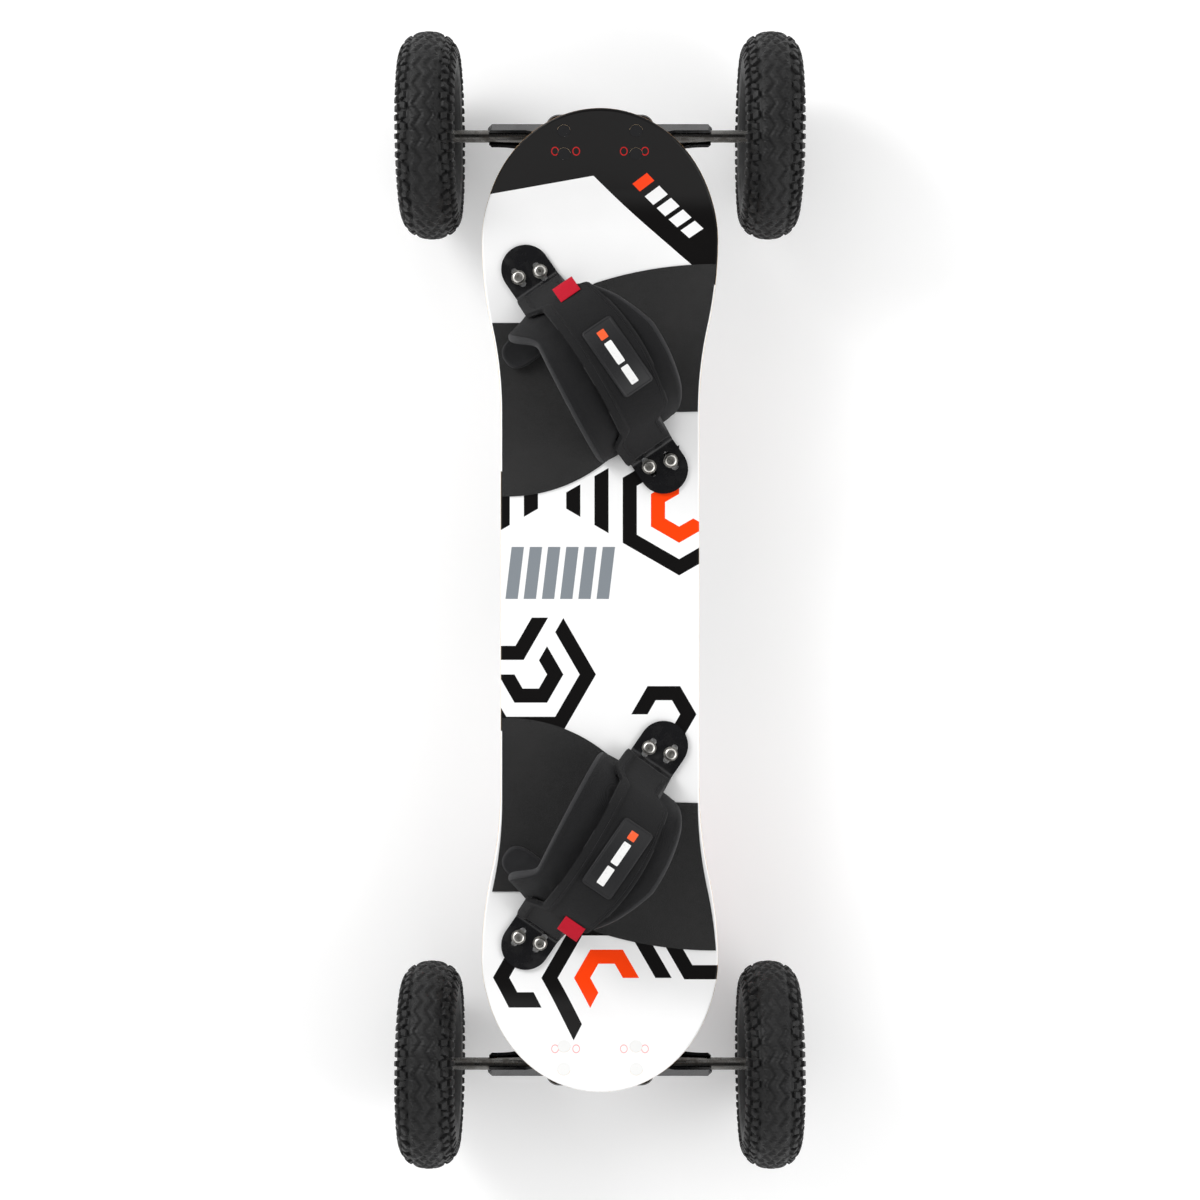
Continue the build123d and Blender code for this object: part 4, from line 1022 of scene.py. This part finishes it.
def badge_piece(end, finish):
    foot, points, faces = Foot(end), [], []
    rows, columns = 60, 140
    for i in range(rows + 1):
        a = BADGE_HALF[0] * sin(pi / 2 * (2 * i / rows - 1))
        for j in range(columns + 1):
            b = BADGE_HALF[1] * sin(pi / 2 * (2 * j / columns - 1))
            squeeze = 1.0
            inset = rounded_inset(a, b)
            if inset < 0:  # draw corner points in to the rounded outline
                for _ in range(6):
                    squeeze *= 0.985
                    if rounded_inset(a * squeeze, b * squeeze) >= 0:
                        break
            inset = max(rounded_inset(a * squeeze, b * squeeze), 0.0)
            rim = 0.3 * smooth_float(inset / 0.5) * (1 - smooth_float((inset - 1.4) / 0.6))
            lift = 0.9 * smooth_float(inset / 0.4) + rim
            points.append(on_badge(foot, BADGE_MIDDLE[0] + a * squeeze, BADGE_MIDDLE[1] + b * squeeze, lift))
    wide = columns + 1
    for i in range(rows):
        for j in range(columns):
            faces.append([i * wide + j, i * wide + j + 1, (i + 1) * wide + j + 1, (i + 1) * wide + j])
    if end == "front":  # the rear badge is mirrored, so its faces already look up
        faces = [face[::-1] for face in faces]
    piece = mesh_from(f"{end}_strap_badge", points, faces, finish, closed=False)
    body = piece.modifiers.new("thickness", "SOLIDIFY")
    body.thickness, body.offset = 0.8 * MM, -1.0
    return piece


def badge_rubber():
    badge = Finish("badge_rubber", {"Specular IOR Level": 0.25})
    speck = badge.clouds(1.2, 3.0)
    badge.feed("Base Color", badge.mix(speck, (0.008, 0.008, 0.009, 1), (0.019, 0.019, 0.020, 1)))
    badge.feed("Roughness", badge.ramp(speck, 0.3, 0.7, 0.40, 0.55))
    badge.bump(speck, 0.04)
    return badge


def stripe_ink(name, colour):
    ink = Finish(name, {"Specular IOR Level": 0.35})
    wear = ink.ramp(ink.clouds(3.0, 5.0), 0.55, 0.75)
    ink.feed("Base Color", ink.mix(wear * 0.3, colour, (0.25, 0.25, 0.25, 1)))
    ink.feed("Roughness", ink.ramp(wear, 0.0, 1.0, 0.42, 0.6))
    ink.bump(ink.clouds(0.9), 0.03)
    return ink


def badge_stripes(end, rows):
    """Raised moulded stripes: each row is a finish, and where the stripe starts and ends along the badge."""
    foot, pieces, half = Foot(end), [], 4.2
    for number, (finish, low, high) in enumerate(rows):
        points, steps = [], 24
        for i in range(steps + 1):
            b = low + (high - low) * i / steps
            taper = min(1.0, sqrt(max(min(i, steps - i), 0.2) / 1.2))
            for a, lift in ((-half, 1.15), (-half + 0.4, 1.75), (half - 0.4, 1.75), (half, 1.15)):
                points.append(on_badge(foot, BADGE_MIDDLE[0] + a * (0.8 + 0.2 * taper), BADGE_MIDDLE[1] + b, lift))
        name = f"{end}_badge_stripe_{number}"
        pieces.append(mesh_from(name, points, tube_grid(steps + 1, 4), finish, smooth=False))
    return pieces


def red_webbing():
    red = Finish("red_webbing", {"Sheen Weight": 0.04, "Specular IOR Level": 0.15})
    warp = red.along(0.82, 0.57, 0.0).wave(1.3)
    weft = red.along(0.57, -0.82, 0.3).wave(0.8)
    fuzz = red.clouds(0.8, 3.0)
    weave = warp * weft * 0.25 + 0.5
    red.feed("Base Color", red.mix(weave * 0.6 + fuzz * 0.3, (0.34, 0.002, 0.012, 1), (0.60, 0.006, 0.028, 1)))
    red.feed("Roughness", red.ramp(fuzz, 0.3, 0.7, 0.6, 0.8))
    red.bump(weave + fuzz * 0.5, 0.2)
    return red


def tab_piece(end, finish):
    """A flattened loop of tape that stands off the strap's free end, fold outwards."""
    foot, points = Foot(end), []
    rows, around, length, width = 24, 20, 19.0, 22.0
    root, drop = radians(42), radians(32)  # where it is sewn on round the arch, and its slope
    root_u, root_h = -(STRAP_RADIUS + 3.0) * cos(root), (STRAP_RADIUS + 3.0) * sin(root) * 0.975
    for i in range(rows + 1):
        f = TAB_MIDDLE[end] + width * (i / rows - 0.5)
        curl = 0.5 * sin(pi * i / rows)
        for k in range(around):
            turn = 2 * pi * k / around
            along = length / 2 * (1 + cos(turn))
            thick = (0.9 + 0.9 * (along / length) ** 2) * sin(turn)
            u = root_u - along * cos(drop) - thick * sin(drop)
            height = root_h - along * sin(drop) + thick * cos(drop) + curl
            points.append(foot.point(f, u, height))
    return mesh_from(f"{end}_pull_tab", points, tube_grid(rows + 1, around), finish)


badge_finish, tab_finish = badge_rubber(), red_webbing()
white_ink = stripe_ink("pale_stripe", (0.80, 0.80, 0.79, 1))
orange_ink = stripe_ink("orange_stripe", (0.85, 0.10, 0.02, 1))
tabs, badges = [], []
for end in ENDS:
    badges.append(badge_piece(end, badge_finish))
    nose_end = 1 if end == "front" else -1  # both badges read from the board's nose
    rows = [(orange_ink, -29.0, -20.0), (white_ink, -16.5, 6.5), (white_ink, 10.0, 29.0)]
    for stripe in badge_stripes(end, [(ink, *sorted((nose_end * a, nose_end * b))) for ink, a, b in rows]):
        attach(stripe, "board")
    tabs.append(tab_piece(end, tab_finish))
for badge in badges:
    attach(badge, "board")
for tab in tabs:
    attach(tab, "board")
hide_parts("strap_badges")
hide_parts("pull_tabs")


# ---------------------------------------------------------------- floor, light and camera
# A pale studio floor, lit from all round with two soft boxes, and a camera straight above the board.
def studio():
    mesh = bpy.data.meshes.new("studio_floor")
    half = 6.0
    mesh.from_pydata([(-half, -half, 0), (half, -half, 0), (half, half, 0), (-half, half, 0)], [], [(0, 1, 2, 3)])
    floor = bpy.data.objects.new("studio_floor", mesh)
    bpy.context.scene.collection.objects.link(floor)
    glow = {"Emission Color": (1, 1, 1, 1), "Emission Strength": 0.16}
    paper = Finish("studio_paper", {"Roughness": 0.85, "Specular IOR Level": 0.1, **glow})
    paper.feed("Base Color", paper.mix(paper.clouds(400.0), (0.90, 0.90, 0.90, 1), (0.92, 0.92, 0.92, 1)))
    paper.feed("Alpha", 1.0 - paper.node("NewGeometry", out="Backfacing"))  # clear from below
    mesh.materials.append(paper.material)
    world = bpy.data.worlds.new("studio_light")
    world.use_nodes = True
    tree = world.node_tree
    place, split = tree.nodes.new("ShaderNodeTexCoord"), tree.nodes.new("ShaderNodeSeparateXYZ")
    hood = tree.nodes.new("ShaderNodeMapRange")  # the dark hood round the camera, which keeps flat blacks black
    tree.links.new(place.outputs["Generated"], split.inputs[0])
    tree.links.new(split.outputs["Z"], hood.inputs["Value"])
    for number, value in enumerate((0.70, 0.93, 1.22, 0.06), 1):  # from and to heights, then strengths
        hood.inputs[number].default_value = value
    tree.links.new(hood.outputs[0], tree.nodes["Background"].inputs["Strength"])
    tree.nodes["Background"].inputs["Color"].default_value = (1, 1, 1, 1)
    bpy.context.scene.world = world
    for name, place, size, power in (("key_box", (-2.2, 1.6, 1.7), 1.4, 52), ("fill_box", (2.3, -1.0, 1.6), 1.8, 26)):
        lamp = bpy.data.lights.new(name, "AREA")
        lamp.shape, lamp.size, lamp.energy = "SQUARE", size, power
        holder = bpy.data.objects.new(name, lamp)
        holder.location = place
        holder.rotation_euler = (-Vector(place)).to_track_quat("-Z", "Y").to_euler()
        bpy.context.scene.collection.objects.link(holder)


def camera():
    low, high = cad_box
    view = bpy.data.cameras.new("camera")
    view.lens, view.sensor_width = 65.0, 36.0
    seen = (high[1] - low[1]) * 1.06
    eye = bpy.data.objects.new("camera", view)
    height = AXLE_HEIGHT + seen * view.lens / view.sensor_width
    eye.location = ((low[0] + high[0]) / 2, (low[1] + high[1]) / 2, height)
    bpy.context.scene.collection.objects.link(eye)
    bpy.context.scene.camera = eye


studio()
camera()
bpy.context.scene.view_settings.view_transform = "Standard"
